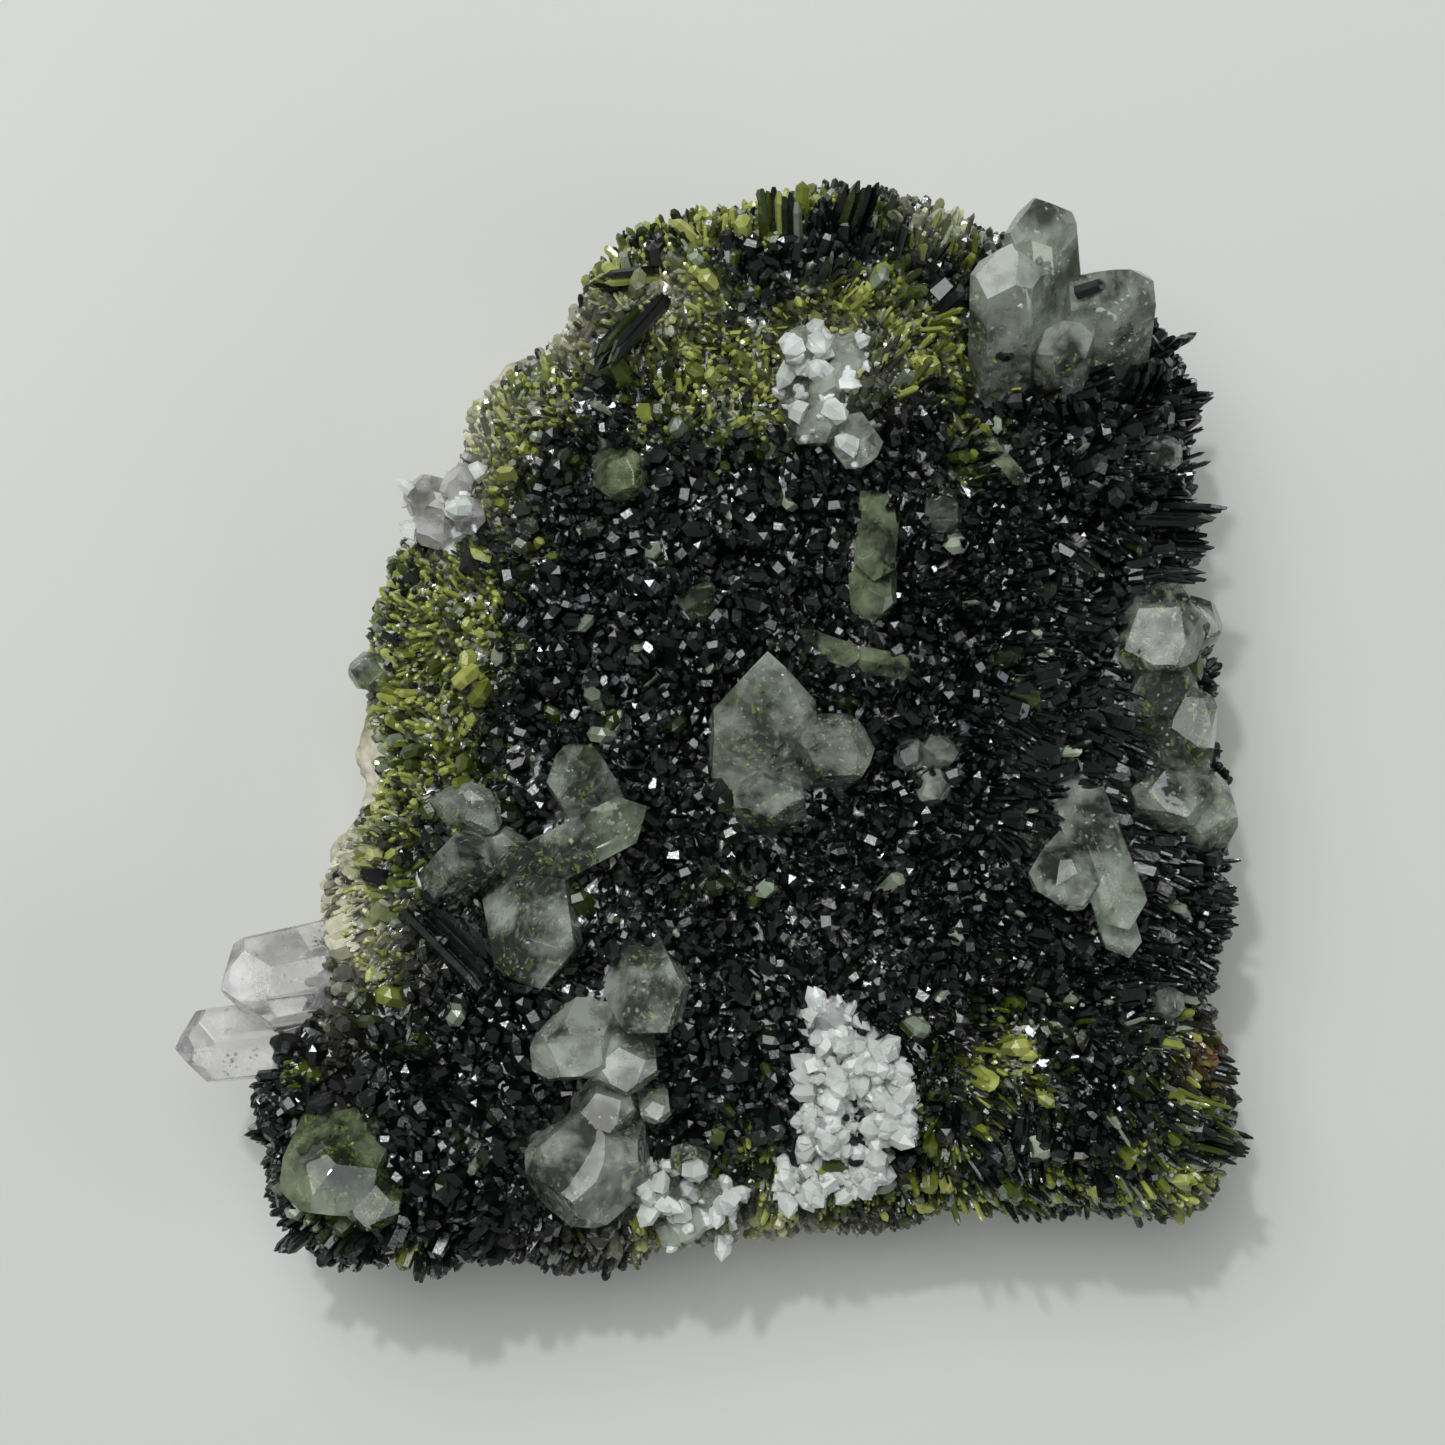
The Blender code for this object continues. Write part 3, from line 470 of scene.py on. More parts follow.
def mesh_piece(name, points, corners, sizes, material, colours=None):
    """A new piece from points in millimetres, the corners of its faces in a row, and each face's size."""
    mesh = bpy.data.meshes.new(name)
    mesh.vertices.add(len(points))
    mesh.vertices.foreach_set("co", (points * MM).astype(np.float32).ravel())
    mesh.loops.add(len(corners))
    mesh.loops.foreach_set("vertex_index", corners.astype(np.int32))
    mesh.polygons.add(len(sizes))
    mesh.polygons.foreach_set("loop_start", (np.cumsum(sizes) - sizes).astype(np.int32))
    mesh.update(calc_edges=True)
    mesh.shade_flat()
    if colours is not None:
        layer = mesh.attributes.new("growth_colour", "FLOAT_COLOR", "POINT")
        full = np.concatenate([colours, np.ones((len(colours), 1))], axis=1)
        layer.data.foreach_set("color", full.astype(np.float32).ravel())
    mesh.materials.append(material)
    piece = bpy.data.objects.new(name, mesh)
    bpy.context.scene.collection.objects.link(piece)
    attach(piece, "root")
    return piece


def closed_grid(rows, columns):
    """Faces of a grid that closes round its columns, with a pole before its first row and after its last.

    The points come as the rows in order, then the two poles.
    """
    row, column = np.meshgrid(np.arange(rows - 1), np.arange(columns), indexing="ij")
    after = (column + 1) % columns
    quads = np.stack([row * columns + column, (row + 1) * columns + column,
                      (row + 1) * columns + after, row * columns + after], axis=-1).reshape(-1)
    first, last = rows * columns, rows * columns + 1
    ring = np.arange(columns)
    step = (ring + 1) % columns
    top = np.stack([np.full(columns, first), ring, step], axis=1).ravel()
    base = (rows - 1) * columns
    bottom = np.stack([np.full(columns, last), base + step, base + ring], axis=1).ravel()
    sizes = np.concatenate([np.full(len(quads) // 4, 4), np.full(2 * columns, 3)])
    return np.concatenate([quads, top, bottom]), sizes


# Steps round a plate's ring, and rings over the crust's face, down its flank, under it, and on the rock.
RING_STEPS = 460
FACE_RINGS = 90
FLANK_RINGS = 21
UNDER_RINGS = 5
ROCK_FLANK_RINGS = 48
ROCK_FLAT_RINGS = 14


def plate_grid(reach, down):
    """Bearings, reaches and depths of a plate's rings as flat arrays, ring by ring."""
    bearing = np.linspace(-math.pi, math.pi, RING_STEPS, endpoint=False)
    angle = np.tile(bearing, len(reach))
    return angle, np.repeat(reach, RING_STEPS), np.repeat(down, RING_STEPS)


def rim_inset(bearing):
    """How far the crust stands back from the rim where the rock shows."""
    return sum(window.inset * facing(bearing, window.bearing, window.half) for window in WINDOWS)


def outwards(bearing):
    """Level directions of length one at bearings."""
    return np.stack([np.cos(bearing), np.sin(bearing), np.zeros_like(bearing)], axis=1)


FOOT_RING_RADIUS = 30


def crust_foot(bearing):
    """Height of the crust's lower edge: a level that wanders with the bearing, by lumps read on a ring."""
    ring = FOOT_RING_RADIUS * outwards(bearing)
    return SEAM_LEVEL + SEAM_GAP + unevenness(ring, FOOT_LUMPS)


def crust_wall(bearing, reach, down):
    """Places on the crust's slab: its face while down is 0, then its flank, which bulges outwards."""
    rim = rim_radius(bearing) - rim_inset(bearing)
    x = PLATE_CENTRE[0] + rim * reach * np.cos(bearing)
    y = PLATE_CENTRE[1] + rim * reach * np.sin(bearing)
    face = crust_height(x, y)
    z = face + (crust_foot(bearing) - face) * down
    spot = np.stack([x, y, z], axis=1)
    bulge = unevenness(spot, WALL_LUMPS) * np.sin(math.pi * down)
    return spot + outwards(bearing) * bulge[:, None]


# Share of the way to the rim at which the crust's flank begins, and the depth at which it is widest.
FLANK_FROM = 0.95
WIDEST = 0.9


def flank_reach(depth):
    """Share of the way to the rim at a depth down the crust's flank: a quarter of a sine wave out to 1."""
    return FLANK_FROM + (1 - FLANK_FROM) * np.sin(math.pi * np.clip(depth / WIDEST, 0, 1) / 2)


def crust_ground(material):
    """The ground that the crystals stand on: rings out over the face, down the flank and in under it, painted
    darker as shade.
    """
    face = np.linspace(0.01, FLANK_FROM, FACE_RINGS)
    turn = np.linspace(0, 1, FLANK_RINGS + 1)[1:]
    flank = flank_reach(turn) - 0.02 * turn**3
    under = np.linspace(0.9, 0.02, UNDER_RINGS)
    reach = np.concatenate([face, flank, under])
    down = np.concatenate([np.zeros(FACE_RINGS), turn, np.ones(UNDER_RINGS)])
    bearing, away, depth = plate_grid(reach, down)
    points = crust_wall(bearing, away, depth)
    rough = clump_height(points[:, 0], points[:, 1]) + 0.28 * lumps(points, 1.1, 61)
    points[:, 2] += rough * np.clip(1 - depth / 0.9, 0, 1)
    poles = np.array([[*PLATE_CENTRE, points[0, 2]], [*PLATE_CENTRE, SEAM_LEVEL + SEAM_GAP]])
    points = np.concatenate([points, poles])
    corners, sizes = closed_grid(len(reach), RING_STEPS)
    draw = np.random.default_rng(5)
    # Painted shade: the ground's colours are darkened as if shaded by the crystals over it.
    colours = growth_colour(points[:, 0], points[:, 1], draw) * GROUND_PAINTED_SHADE
    ground = mesh_piece("epidote_ground", points, corners, sizes, material, colours)
    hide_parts("epidote_crust")


def rock_body(material):
    """The matrix rock: a crest hidden under the crust, a broken flank, and a sawn flat back.

    The flank is the rim less a margin, pushed in and out by lumps, less sharp creases where other lumps
    pass through zero. All of it fades at the crest and the back.
    """
    crest = np.linspace(0.02, 0.9, ROCK_FLAT_RINGS)
    turn = np.linspace(0, 1, ROCK_FLANK_RINGS)
    flank = 1 - 0.1 * np.clip(1 - turn / 0.2, 0, 1) ** 2 - 0.15 * np.clip((turn - 0.3) / 0.7, 0, 1) ** 2
    back = np.linspace(0.83, 0.02, ROCK_FLAT_RINGS)
    reach = np.concatenate([crest, flank, back])
    down = np.concatenate([np.zeros(ROCK_FLAT_RINGS), turn, np.ones(ROCK_FLAT_RINGS)])
    bearing, away, depth = plate_grid(reach, down)
    proud = sum(window.proud * facing(bearing, window.bearing, window.half) for window in WINDOWS)
    rim = rim_radius(bearing) - ROCK_MARGIN + proud
    x = PLATE_CENTRE[0] + rim * away * np.cos(bearing)
    y = PLATE_CENTRE[1] + rim * away * np.sin(bearing)
    spot = np.stack([x, y, ROCK_CREST * (1 - depth)], axis=1)
    wall = np.sin(math.pi * depth) ** 0.6
    bulge = unevenness(spot, ROCK_LUMPS) - sum(
        crease.height * np.abs(lumps(spot, crease.size, crease.seed)) for crease in ROCK_CREASES
    )
    bulge = bulge * wall
    points = spot + outwards(bearing) * bulge[:, None]
    points = np.concatenate([points, [[*PLATE_CENTRE, ROCK_CREST], [*PLATE_CENTRE, 0.0]]])
    corners, sizes = closed_grid(len(reach), RING_STEPS)
    rock = mesh_piece("vein_rock_body", points, corners, sizes, material)
    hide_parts("matrix_rock")


# Corners of a hexagon one wide from its centre, how far a prism narrows to its shoulder, and where that is.
HEXAGON = np.array([(math.cos(math.radians(60 * i)), math.sin(math.radians(60 * i))) for i in range(6)])
SHOULDER_WIDTH = 0.86
SHOULDER_HEIGHT = 0.86


def prism_template(tips, roof):
    """A six-sided prism from foot to shoulder, closed by a roof over the tips, as points and faces."""
    foot = np.column_stack([HEXAGON, np.zeros(6)])
    shoulder = np.column_stack([HEXAGON * SHOULDER_WIDTH, np.full(6, SHOULDER_HEIGHT)])
    faces = [(5, 4, 3, 2, 1, 0)]
    faces += [(i, (i + 1) % 6, 6 + (i + 1) % 6, 6 + i) for i in range(6)]
    return np.concatenate([foot, shoulder, tips]), faces + roof


CHISEL = prism_template(
    np.array([(-0.34, 0.0, 1.0), (0.34, 0.0, 1.0)]),
    [(6, 7, 13), (7, 8, 12, 13), (8, 9, 12), (9, 10, 12), (10, 11, 13, 12), (11, 6, 13)],
)
POINT = prism_template(np.array([(0.0, 0.0, 1.35)]), [(6 + i, 6 + (i + 1) % 6, 12) for i in range(6)])


# A direction that no crystal lies along, from which the directions across them are worked out.
ASIDE = (0.31, 0.87, 0.38)


def crystal_axes(axis, spin):
    """The two directions across each crystal, square to its axis and turned by its spin."""
    side = unit(np.cross(axis, np.tile(ASIDE, (len(axis), 1))))
    other = np.cross(axis, side)
    cosine, sine = np.cos(spin)[:, None], np.sin(spin)[:, None]
    across = side * cosine + other * sine
    return across, np.cross(axis, across)


def crystals(name, foot, axis, spin, width, thick, length, template, material, slot, colours=None):
    """Many crystals as one piece: the template scaled by each size and turned to each axis."""
    shape, faces = template
    across, through = crystal_axes(axis, spin)
    points = (
        foot[:, None, :]
        + across[:, None, :] * (shape[:, 0] * (width / 2)[:, None])[:, :, None]
        + through[:, None, :] * (shape[:, 1] * (thick / 2)[:, None])[:, :, None]
        + axis[:, None, :] * (shape[:, 2] * length[:, None])[:, :, None]
    ).reshape(-1, 3)
    one = np.concatenate([np.array(face) for face in faces])
    corners = (one[None, :] + (np.arange(len(foot)) * len(shape))[:, None]).ravel()
    sizes = np.tile([len(face) for face in faces], len(foot))
    if colours is not None:
        colours = np.repeat(colours, len(shape), axis=0)
    return mesh_piece(name, points, corners, sizes, material, colours)


# Half the side of the square that is sown with crystals, and the share of the way to the rim where it ends.
SOWN_HALF = 48.0
SOWN_SHARE = 0.975


def scattered(spacing, seed):
    """Places on a square lattice, each shifted at random within its cell, kept where the crust's face is."""
    draw = np.random.default_rng(seed)
    line = np.arange(-SOWN_HALF, SOWN_HALF, spacing)
    x, y = (side.ravel() for side in np.meshgrid(line, line))
    x = x + draw.uniform(-0.5, 0.5, len(x)) * spacing
    y = y + draw.uniform(-0.5, 0.5, len(y)) * spacing
    dx, dy = x - PLATE_CENTRE[0], y - PLATE_CENTRE[1]
    bearing = np.arctan2(dy, dx)
    share = np.hypot(dx, dy) / (rim_radius(bearing) - rim_inset(bearing))
    keep = share < SOWN_SHARE
    return x[keep], y[keep], share[keep], bearing[keep], draw


# Width of a clump of crystals that lean the same way, how far it leans, the lean outwards at the rim, and how
# deep the prisms' feet are sunk in the ground.
SWAY_SIZE = 3.6
SWAY_LEAN = 0.75
RIM_LEAN = 0.9
SUNK = 0.7

# The sweep to the right: where it starts and how far on it is full, the level that it lies round and how wide
# the band is, and how far it leans to the right and down.
SWEEP_FROM = 8.0
SWEEP_SPAN = 22.0
SWEEP_LEVEL = 2.0
SWEEP_BAND = 24.0
SWEEP_RIGHT = 1.1
SWEEP_DOWN = 0.25


def growth_axis(x, y, share, bearing, draw, loose):
    """The way crystals point: the crust's normal, leant out at the rim and swayed in clumps.

    In the right half they are swept to the right as well, and each strays a little at random.
    """
    flat = flat_points(x, y)
    level = np.zeros_like(x)
    normal = crust_normal(x, y)
    sway = np.stack([lumps(flat, SWAY_SIZE, 71), lumps(flat, SWAY_SIZE, 72), level], axis=1) * SWAY_LEAN
    out = outwards(bearing) * (RIM_LEAN * share**3)[:, None]
    band = np.exp(-(((y - SWEEP_LEVEL) / SWEEP_BAND) ** 2))
    right = np.clip((x - SWEEP_FROM) / SWEEP_SPAN, 0, 1) * band
    swept = np.stack([right * SWEEP_RIGHT, -right * SWEEP_DOWN, level], axis=1)
    return unit(normal + sway + out + swept + draw.normal(0, loose, (len(x), 3)))


def clear_of_quartz(tree, foot, axis, length):
    """True for each crystal whose foot and tip are both outside the quartz."""
    free = np.ones(len(foot), bool)
    for index, ends in enumerate(zip(foot, foot + axis * length[:, None])):
        for end in ends:
            near, normal, _, _ = tree.find_nearest(Vector(end * MM))
            if (Vector(end * MM) - near).dot(normal) < 0:
                free[index] = False
    return free


def epidote_layer(layer, tree, material):
    """One layer of epidote prisms, none of them inside the quartz."""
    x, y, share, bearing, draw = scattered(layer.spacing, layer.seed)
    taken = draw.uniform(0, 1, len(x)) < layer.chance(x, y)
    x, y, share, bearing = x[taken], y[taken], share[taken], bearing[taken]
    axis = growth_axis(x, y, share, bearing, draw, layer.loose)
    wide = draw.uniform(*layer.width, len(x))
    tall = draw.uniform(*layer.length, len(x))
    foot = np.stack([x, y, crust_height(x, y) + clump_height(x, y)], axis=1)
    free = clear_of_quartz(tree, foot, axis, tall)
    foot = foot - axis * SUNK
    tall = tall + SUNK
    spin = 2.2 * lumps(flat_points(x, y), 3.0, 73) + draw.normal(0, 0.35, len(x))
    colours = growth_colour(x, y, draw)
    thick = wide * draw.uniform(*layer.slim, len(x))
    made = [part[free] for part in (foot, axis, spin, wide, thick, tall)]
    crystals(layer.name, *made, CHISEL, material, "epidote", colours[free])


# Layers of prisms on the flank: name, how many, seed, and ranges of width and length.
Flank = namedtuple("Flank", "name count seed width length")
FLANK_LAYERS = [
    Flank("epidote_flank_prisms", 3600, 107, (0.6, 1.3), (0.5, 1.8)),
    Flank("epidote_flank_grains", 5200, 108, (0.35, 0.8), (0.2, 0.9)),
]
FLANK_SWAY_SIZE = 3.2
FLANK_SWAY_LEAN = 0.5


def flank_layer(layer, tree, material):
    """Epidote prisms on the crust's flank, pointing outwards: up near the face and down near the foot."""
    count = layer.count
    draw = np.random.default_rng(layer.seed)
    bearing = draw.uniform(-math.pi, math.pi, count)
    depth = draw.uniform(0.02, 0.92, count)
    foot = crust_wall(bearing, flank_reach(depth), depth)
    outward = np.stack([np.cos(bearing), np.sin(bearing), 0.75 - 1.3 * depth], axis=1)
    sway = np.stack([lumps(foot, FLANK_SWAY_SIZE, seed) for seed in (81, 82, 83)], axis=1) * FLANK_SWAY_LEAN
    axis = unit(outward + sway + draw.normal(0, 0.22, (count, 3)))
    wide = draw.uniform(*layer.width, count)
    tall = draw.uniform(*layer.length, count)
    free = clear_of_quartz(tree, foot, axis, tall)
    colours = growth_colour(foot[:, 0], foot[:, 1], draw)
    spin = draw.uniform(0, math.pi, count)
    made = [part[free] for part in (foot - axis * SUNK, axis, spin, wide, wide * 0.7, tall + SUNK)]
    crystals(layer.name, *made, CHISEL, material, "epidote", colours[free])


# The rods of a blade: how many, how far they reach across its half width and out of its plane, how much wider
# they are than their share, and how they are turned.
RODS_IN_BLADE = 7
ROD_REACH = 0.42
ROD_DEPTH = 0.16
ROD_OVERLAP = 1.9
ROD_SPIN = 0.6


def blade_bundles(material):
    """The large blades, each a bundle of parallel rods side by side, so its faces are striated."""
    draw = np.random.default_rng(91)
    foot = np.array([blade.foot for blade in LARGE_BLADES])
    tip = np.array([blade.tip for blade in LARGE_BLADES])
    wide = np.array([blade.width for blade in LARGE_BLADES])
    ground = crust_height(foot[:, 0], foot[:, 1])
    lift = np.stack([0 * ground, 0 * ground, ground], axis=1)
    foot = foot + lift
    tip = tip + lift
    axis = unit(tip - foot)
    length = np.linalg.norm(tip - foot, axis=1)
    across, through = crystal_axes(axis, np.full(len(foot), ROD_SPIN))
    place = np.tile(np.linspace(-ROD_REACH, ROD_REACH, RODS_IN_BLADE), len(foot))
    index = np.repeat(np.arange(len(foot)), RODS_IN_BLADE)
    shift = across[index] * (place * wide[index])[:, None]
    depth = through[index] * (draw.uniform(-ROD_DEPTH, ROD_DEPTH, len(index)) * wide[index])[:, None]
    rod_width = wide[index] / RODS_IN_BLADE * ROD_OVERLAP
    rod_length = length[index] * draw.uniform(0.82, 1.0, len(index))
    colours = green_colour(tip[index, 0], tip[index, 1], draw) * 0.9
    spin = np.full(len(index), ROD_SPIN) + draw.normal(0, 0.2, len(index))
    crystals("epidote_blades", foot[index] + shift + depth, axis[index], spin, rod_width,
             rod_width * 1.3, rod_length, CHISEL, material, "epidote", colours)


# Corners nearer than this are merged in a copy of a quartz node, and faces that turn by less are joined.
MERGE_WITHIN = 0.02
JOIN_WITHIN = 3


def merged_copy(name):
    """The merged faces of a quartz node, as a bmesh."""
    work = bmesh.new()
    work.from_mesh(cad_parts[name].data)
    bmesh.ops.remove_doubles(work, verts=work.verts, dist=MERGE_WITHIN * MM)
    bmesh.ops.dissolve_limit(
        work, angle_limit=math.radians(JOIN_WITHIN), verts=work.verts, edges=work.edges
    )
    return work


# The wear of quartz edges: its width, and the turn in degrees above which an edge is worn.
WEAR_WIDTH = 0.14
WEAR_ANGLE = 16


def quartz_piece(name, material):
    """A group of quartz crystals with worn edges: the solid's faces, merged and bevelled."""
    work = merged_copy(name)
    mesh = bpy.data.meshes.new(name + "_crystals")
    work.to_mesh(mesh)
    work.free()
    mesh.materials.append(material)
    piece = bpy.data.objects.new(name + "_crystals", mesh)
    bpy.context.scene.collection.objects.link(piece)
    worn = piece.modifiers.new("worn", "BEVEL")
    worn.width = WEAR_WIDTH * MM
    worn.segments = 2
    worn.limit_method = "ANGLE"
    worn.angle_limit = math.radians(WEAR_ANGLE)
    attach(piece, "root")
    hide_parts(name)


def quartz_tree():
    """All the quartz as one tree of faces, to tell what is inside it."""
    work = bmesh.new()
    for name in CLEAR_QUARTZ + PALE_QUARTZ + GREEN_QUARTZ + BRIGHT_QUARTZ:
        part = merged_copy(name)
        loose = bpy.data.meshes.new("loose")
        part.to_mesh(loose)
        part.free()
        work.from_mesh(loose)
        bpy.data.meshes.remove(loose)
    tree = BVHTree.FromBMesh(work)
    work.free()
    return tree


def surface_samples(name, count, draw):
    """Places on a quartz node's faces, as many for a face as its area asks, with their normals."""
    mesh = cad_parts[name].data
    mesh.calc_loop_triangles()
    corners = np.zeros(len(mesh.loop_triangles) * 3, np.int32)
    mesh.loop_triangles.foreach_get("vertices", corners)
    points = np.zeros(len(mesh.vertices) * 3, np.float32)
    mesh.vertices.foreach_get("co", points)
    a, b, c = points.reshape(-1, 3)[corners.reshape(-1, 3)].astype(float).transpose(1, 0, 2) / MM
    normal = np.cross(b - a, c - a)
    area = np.linalg.norm(normal, axis=1)
    pick = draw.choice(len(area), count, p=area / area.sum())
    s, t = draw.uniform(0, 1, (2, count))
    fold = s + t > 1
    s, t = np.where(fold, 1 - s, s), np.where(fold, 1 - t, t)
    spot = a[pick] + s[:, None] * (b - a)[pick] + t[:, None] * (c - a)[pick]
    return spot, unit(normal[pick])


# Small crystals over each frosted group, and the edges of the part of the lower group that has them.
DRUSE = {"quartz_white_vein": 850, "quartz_top_lumps": 90, "quartz_left_druse": 50,
         "quartz_lower_group": 520}
DRUSE_BELOW = -37.0
DRUSE_RIGHT_OF = -7.0
DRUSE_SUNK = 0.3


def druse(material):
    """Small pointed quartz crystals over the frosted lumps, leaning off their faces."""
    draw = np.random.default_rng(17)
    spots, normals = [], []
    for name, count in DRUSE.items():
        spot, normal = surface_samples(name, count, draw)
        keep = normal[:, 2] > 0.05
        if name == "quartz_lower_group":
            keep &= (spot[:, 1] < DRUSE_BELOW) & (spot[:, 0] > DRUSE_RIGHT_OF)
        spots.append(spot[keep])
        normals.append(normal[keep])
    foot, normal = np.concatenate(spots), np.concatenate(normals)
    axis = unit(normal + draw.normal(0, 0.4, foot.shape))
    wide = 0.5 + 1.7 * draw.uniform(0, 1, len(foot)) ** 2
    tall = wide * draw.uniform(0.4, 0.9, len(foot)) + DRUSE_SUNK
    spin = draw.uniform(0, math.pi, len(foot))
    crystals("quartz_druse", foot - axis * DRUSE_SUNK, axis, spin, wide, wide, tall, POINT,
             material, "quartz")


# How many flecks each larger quartz node gets.
FLECKS = {"quartz_crown": 90, "quartz_centre_pair": 80, "quartz_left_group": 100, "quartz_lower_group": 120,
          "quartz_edge_pair": 110, "quartz_right_long": 60, "quartz_right_edge": 90}


def places_inside(tree, counts, deep, order, draw):
    """Places sunk below the faces of quartz nodes: of three times as many, those that order puts first."""
    spots = []
    for name, count in counts.items():
        spot, normal = surface_samples(name, count * 3, draw)
        spot = spot - normal * draw.uniform(*deep, len(spot))[:, None]
        spots.append(spot[np.argsort(order(spot))[:count]])
    foot = np.concatenate(spots)
    inside = ~clear_of_quartz(tree, foot, foot, np.zeros(len(foot)))
    return foot[inside]


def height_off_face(spot):
    """How far places are from a level one millimetre over the crust's face, less where lumps are high."""
    return np.abs(spot[:, 2] - crust_height(spot[:, 0], spot[:, 1]) - 1.0) - 0.8 * lumps(spot, 2.0, 34)


# How many green needles each quartz node gets.
INCLUSIONS = {"quartz_centre_pair": 170, "quartz_corner_green": 260, "quartz_lower_group": 260,
              "quartz_right_edge": 200, "quartz_left_group": 200, "quartz_crown": 120, "quartz_dim_point": 40}


def green_inclusions(tree, material):
    """Olive epidote needles in the lower parts of the quartz, so the crystals look green at the foot."""
    draw = np.random.default_rng(29)
    foot = places_inside(tree, INCLUSIONS, (0.4, 1.8), height_off_face, draw)
    count = len(foot)
    axis = unit(draw.normal(0, 0.6, (count, 3)) + (0.0, 0.0, 0.8))
    wide = draw.uniform(0.2, 0.5, count)
    stops = np.array([linear(c) for c in GROWTH_COLOURS[3:]])
    colours = stops[draw.integers(0, len(stops), count)]
    crystals("quartz_green_inclusions", foot, axis, draw.uniform(0, math.pi, count), wide, wide * 0.7,
             draw.uniform(0.3, 1.0, count), CHISEL, material, "epidote", colours)


FLECK_HEIGHT = 0.03


def veil_flecks(tree, material):
    """Flat flecks in sheets inside the larger crystals: sunk below a face, where lumps pass through zero."""
    draw = np.random.default_rng(23)
    foot = places_inside(tree, FLECKS, (0.4, 2.6), lambda spot: np.abs(lumps(spot, 2.4, 33)), draw)
    axis = unit(draw.normal(0, 0.4, foot.shape) + (0.3, 0.5, 0.8))
    wide = draw.uniform(0.12, 0.5, len(foot))
    spin = draw.uniform(0, math.pi, len(foot))
    crystals("quartz_veils", foot, axis, spin, wide, wide * 0.7, np.full(len(foot), FLECK_HEIGHT), POINT,
             material, "quartz")


# Black rods that lie on the quartz: their ends seen from above, and width. A rod's middle line lies over the
# quartz by this share of its width.
Rod = namedtuple("Rod", "start end width")
RODS_ON_QUARTZ = [
    Rod((-23.4, -9.8), (-19.8, -11.2), 1.2),
    Rod((28.8, 34.9), (30.9, 35.5), 1.5),
]
ROD_LIFT = 0.17
DROP_FROM = 60.0


def top_place(tree, x, y):
    """The highest place at x and y: on the quartz, found by dropping straight down, or else on the crust."""
    hit = tree.ray_cast(Vector((x, y, DROP_FROM)) * MM, Vector((0, 0, -1)))[0]
    crust = crust_height(np.array([x]), np.array([y]))[0]
    return np.array([x, y, crust if hit is None else max(crust, hit.z / MM)])


def rods_on_quartz(tree, material):
    """Epidote rods grown fast to the quartz, sunk into it by about a third of their width."""
    start = np.array([top_place(tree, *rod.start) for rod in RODS_ON_QUARTZ])
    end = np.array([top_place(tree, *rod.end) for rod in RODS_ON_QUARTZ])
    wide = np.array([rod.width for rod in RODS_ON_QUARTZ])
    start[:, 2] += wide * ROD_LIFT
    end[:, 2] += wide * ROD_LIFT
    length = np.linalg.norm(end - start, axis=1)
    colours = np.tile(linear(GROWTH_COLOURS[0]), (len(wide), 1))
    crystals("epidote_rods_on_quartz", start, unit(end - start), np.zeros(len(wide)), wide, wide * 0.9,
             length, CHISEL, material, "epidote", colours)


def dark_chance(x, y):
    """Share of places that a larger prism takes."""
    return 0.95 - 0.8 * olive_amount(x, y)


def fine_chance(x, y):
    """Share of places that a fine olive grain takes."""
    return 0.12 + 0.88 * olive_amount(x, y)


# Where the black prisms are coarse: the lower left and the right crest.
COARSE_PATCHES = [Patch(-22.0, -33.0, 11.0, 10.0, 1.0), Patch(32.0, 25.0, 6.0, 6.0, 0.8)]


def coarse_chance(x, y):
    """Share of places that a coarse black prism takes: the coarse patches, and a few elsewhere."""
    return np.clip(patch_sum(COARSE_PATCHES, x, y) + 0.08, 0, 1) * (1 - 0.8 * olive_amount(x, y))


def sheaf_chance(x, y):
    """Share of places that a long thin prism takes: the right half and the lower right."""
    return np.clip((x - 6.0) / 16.0, 0, 0.8) * (1 - 0.6 * olive_amount(x, y))


# Layers of epidote prisms: name, spacing of places, seed, share of places taken, ranges of width, length and
# thickness for its width, and how loosely they point.
Layer = namedtuple("Layer", "name spacing seed chance width length slim loose")
EPIDOTE_LAYERS = [
    Layer("epidote_prisms_a", 1.3, 101, dark_chance, (1.0, 2.5), (0.5, 2.1), (0.5, 0.85), 0.14),
    Layer("epidote_prisms_b", 1.15, 102, dark_chance, (0.6, 1.5), (0.2, 1.7), (0.5, 0.9), 0.2),
    Layer("epidote_grains_a", 0.74, 103, fine_chance, (0.3, 0.8), (0.2, 0.9), (0.6, 1.0), 0.4),
    Layer("epidote_grains_b", 0.78, 104, fine_chance, (0.25, 0.7), (0.2, 1.2), (0.5, 1.0), 0.4),
    Layer("epidote_coarse", 1.9, 105, coarse_chance, (1.6, 2.6), (1.0, 2.6), (0.6, 0.9), 0.25),
    Layer("epidote_sheaves", 1.15, 106, sheaf_chance, (0.45, 0.8), (1.6, 3.2), (0.5, 0.8), 0.12),
]


# Half the floor's side, and how far it lies under the specimen.
FLOOR_HALF = 1500.0
FLOOR_GAP = 0.05


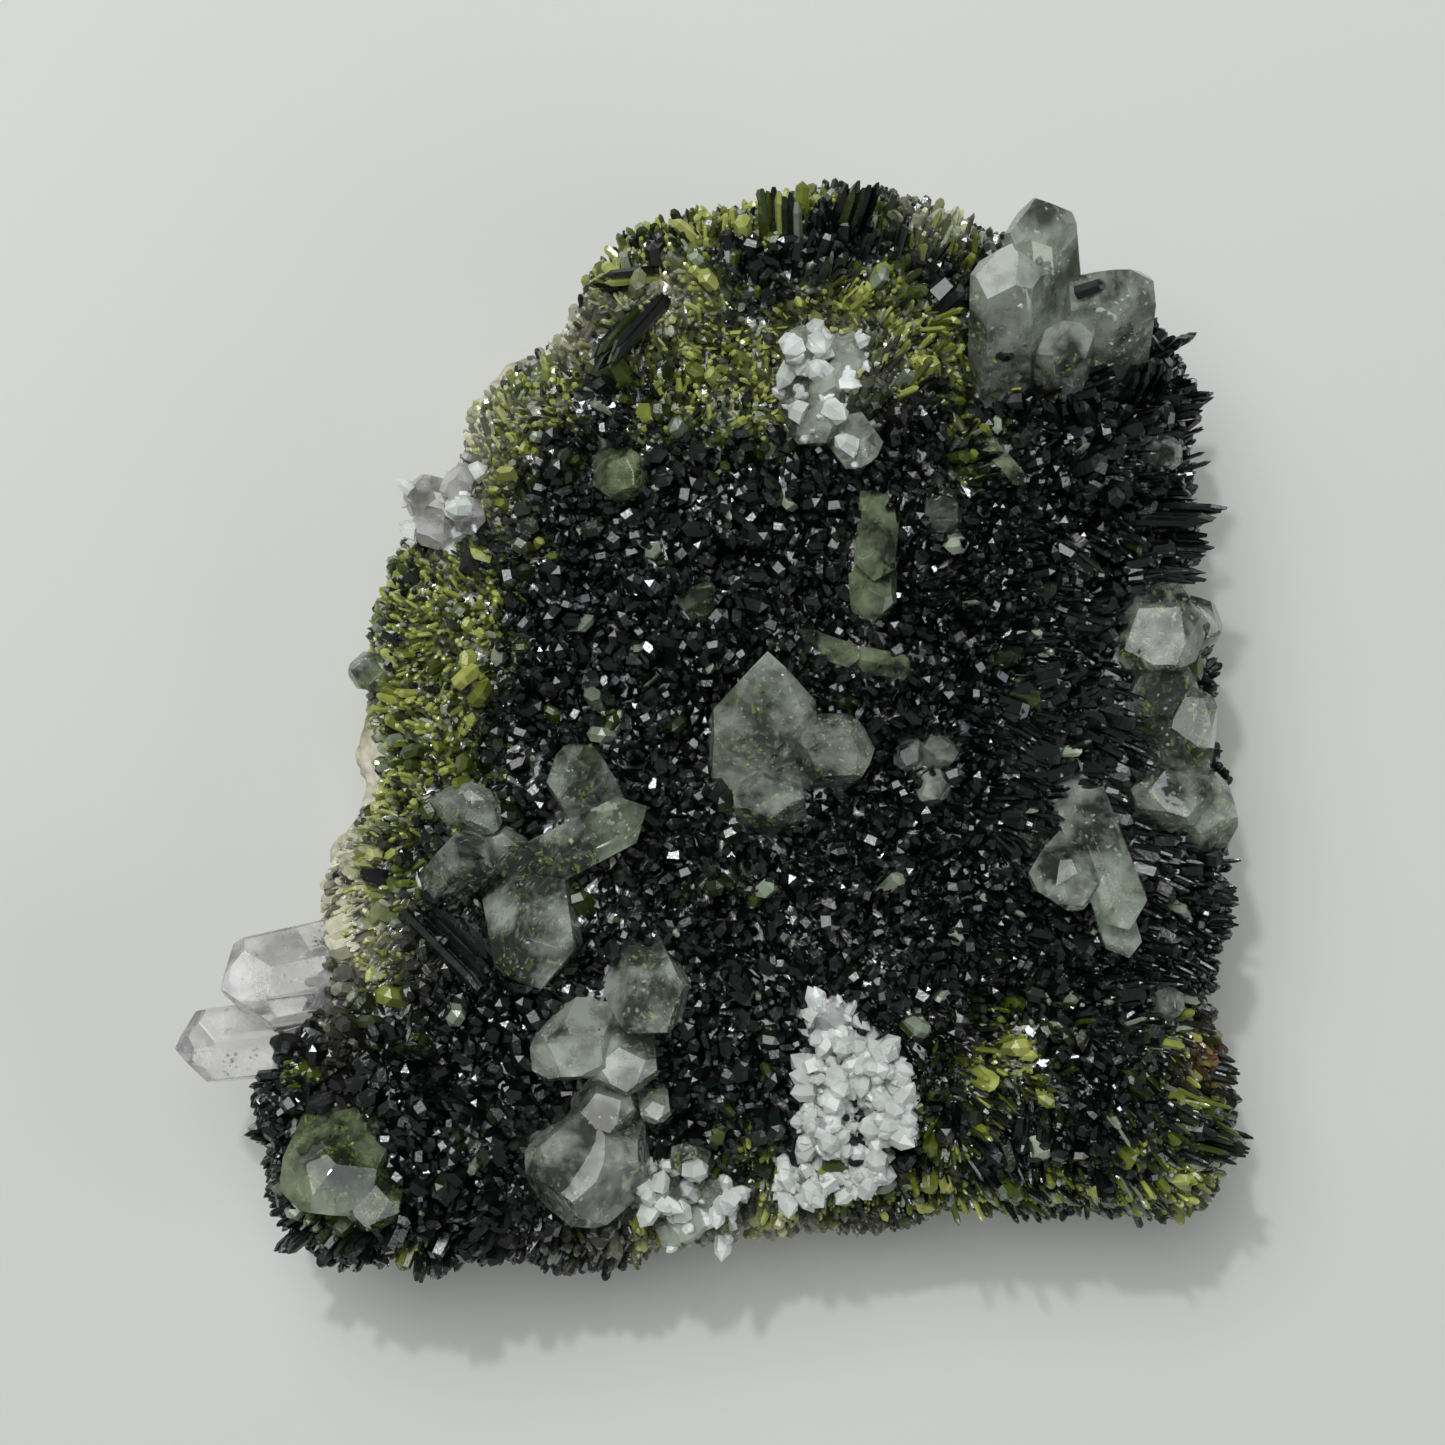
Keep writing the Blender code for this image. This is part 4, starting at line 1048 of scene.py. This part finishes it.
def floor():
    """A plain pale floor just under the specimen, matt, with faint clouds about 17 centimetres wide."""
    made, tree, shader = principled("plain_floor")
    place = node(tree, "ShaderNodeTexCoord").outputs["Object"]
    cloud = node(tree, "ShaderNodeTexNoise", [("Vector", place)], Scale=0.006 * PER_MM, Detail=2.0)
    ramp = node(tree, "ShaderNodeValToRGB", [("Fac", cloud.outputs["Fac"])])
    ramp.color_ramp.elements[0].color = linear("CCCEC8") + [1]
    ramp.color_ramp.elements[1].color = linear("D8D9D3") + [1]
    tree.links.new(shader.inputs["Base Color"], ramp.outputs["Color"])
    shader.inputs["Roughness"].default_value = 0.8
    half = FLOOR_HALF * MM
    level = -FLOOR_GAP * MM
    corners = [(-half, -half, level), (half, -half, level), (half, half, level), (-half, half, level)]
    mesh = bpy.data.meshes.new("plain_floor")
    mesh.from_pydata(corners, [], [(0, 1, 2, 3)])
    mesh.materials.append(made)
    made = bpy.data.objects.new("plain_floor", mesh)
    bpy.context.scene.collection.objects.link(made)


# Lamps: place and size in metres, power and colour.
Lamp = namedtuple("Lamp", "name place size watts colour")
LAMPS = [
    Lamp("overhead", (-0.2, 0.35, 0.85), 0.72, 5.9, "FFFFFF"),
    Lamp("side_fill", (0.7, -0.2, 0.5), 0.4, 1.0, "EEF4FF"),
    Lamp("glint", (-0.12, 0.3, 0.6), 0.03, 1.2, "F4F6FF"),
]
SKY_STRENGTH = 0.22


def lights():
    """A wide soft lamp overhead, a weaker one at the side, a small one for glints, and an even pale sky."""
    for lamp in LAMPS:
        data = bpy.data.lights.new(lamp.name, "AREA")
        data.size = lamp.size
        data.energy = lamp.watts
        data.color = linear(lamp.colour)
        made = bpy.data.objects.new(lamp.name, data)
        made.location = lamp.place
        made.rotation_euler = Vector(lamp.place).to_track_quat("Z", "Y").to_euler()
        bpy.context.scene.collection.objects.link(made)
    world = bpy.data.worlds.new("sky")
    world.use_nodes = True
    sky = world.node_tree.nodes["Background"]
    sky.inputs["Color"].default_value = linear("E6EAEC") + [1]
    sky.inputs["Strength"].default_value = SKY_STRENGTH
    bpy.context.scene.world = world
    bpy.context.scene.view_settings.view_transform = "Standard"


def camera():
    """A camera straight above the specimen, with the top of its face at the top of the picture."""
    data = bpy.data.cameras.new("above")
    data.sensor_width = SENSOR
    data.lens = SENSOR / 2 / math.tan(math.radians(VIEW_ANGLE / 2))
    data.clip_start = 0.01
    made = bpy.data.objects.new("above", data)
    made.location = (0, 0, VIEW_HEIGHT * MM)
    bpy.context.scene.collection.objects.link(made)
    bpy.context.scene.camera = made


def build():
    """Makes every piece, from the ground up."""
    camera()
    lights()
    floor()
    epidote = epidote_material()
    rock_body(rock_material())
    crust_ground(epidote)
    tree = quartz_tree()
    for layer in EPIDOTE_LAYERS:
        epidote_layer(layer, tree, epidote)
    for layer in FLANK_LAYERS:
        flank_layer(layer, tree, epidote)
    blade_bundles(epidote)

    # Quartz as it grew: clear, veiled, green with chlorite, nearly white, and a frosted druse.
    clear = quartz_material("rock_crystal", "DFE8D8", 0.98, 0.44, "D6DFCE", 25.0)
    pale = quartz_material("veiled_crystal", "E6EEDF", 0.96, 0.42, "D8E2CC", 16.0)
    green = quartz_material("chlorite_quartz", "B4C49A", 0.97, 0.44, "B6C890", 60.0)
    bright = quartz_material("bright_crystal", "F7F6F4", 0.9, 0.4, "F2F0EC", 6.0)
    frosted = quartz_material("frosted_quartz", "FAFEF8", 0.5, 0.5, "F0F4EC", 8.0)
    dressed = {CLEAR_QUARTZ: clear, PALE_QUARTZ: pale, GREEN_QUARTZ: green, BRIGHT_QUARTZ: bright}
    for names, finish in dressed.items():
        for name in names:
            quartz_piece(name, finish)
    druse(frosted)
    veil_flecks(tree, fleck_material())
    green_inclusions(tree, epidote)
    rods_on_quartz(tree, epidote)


build()
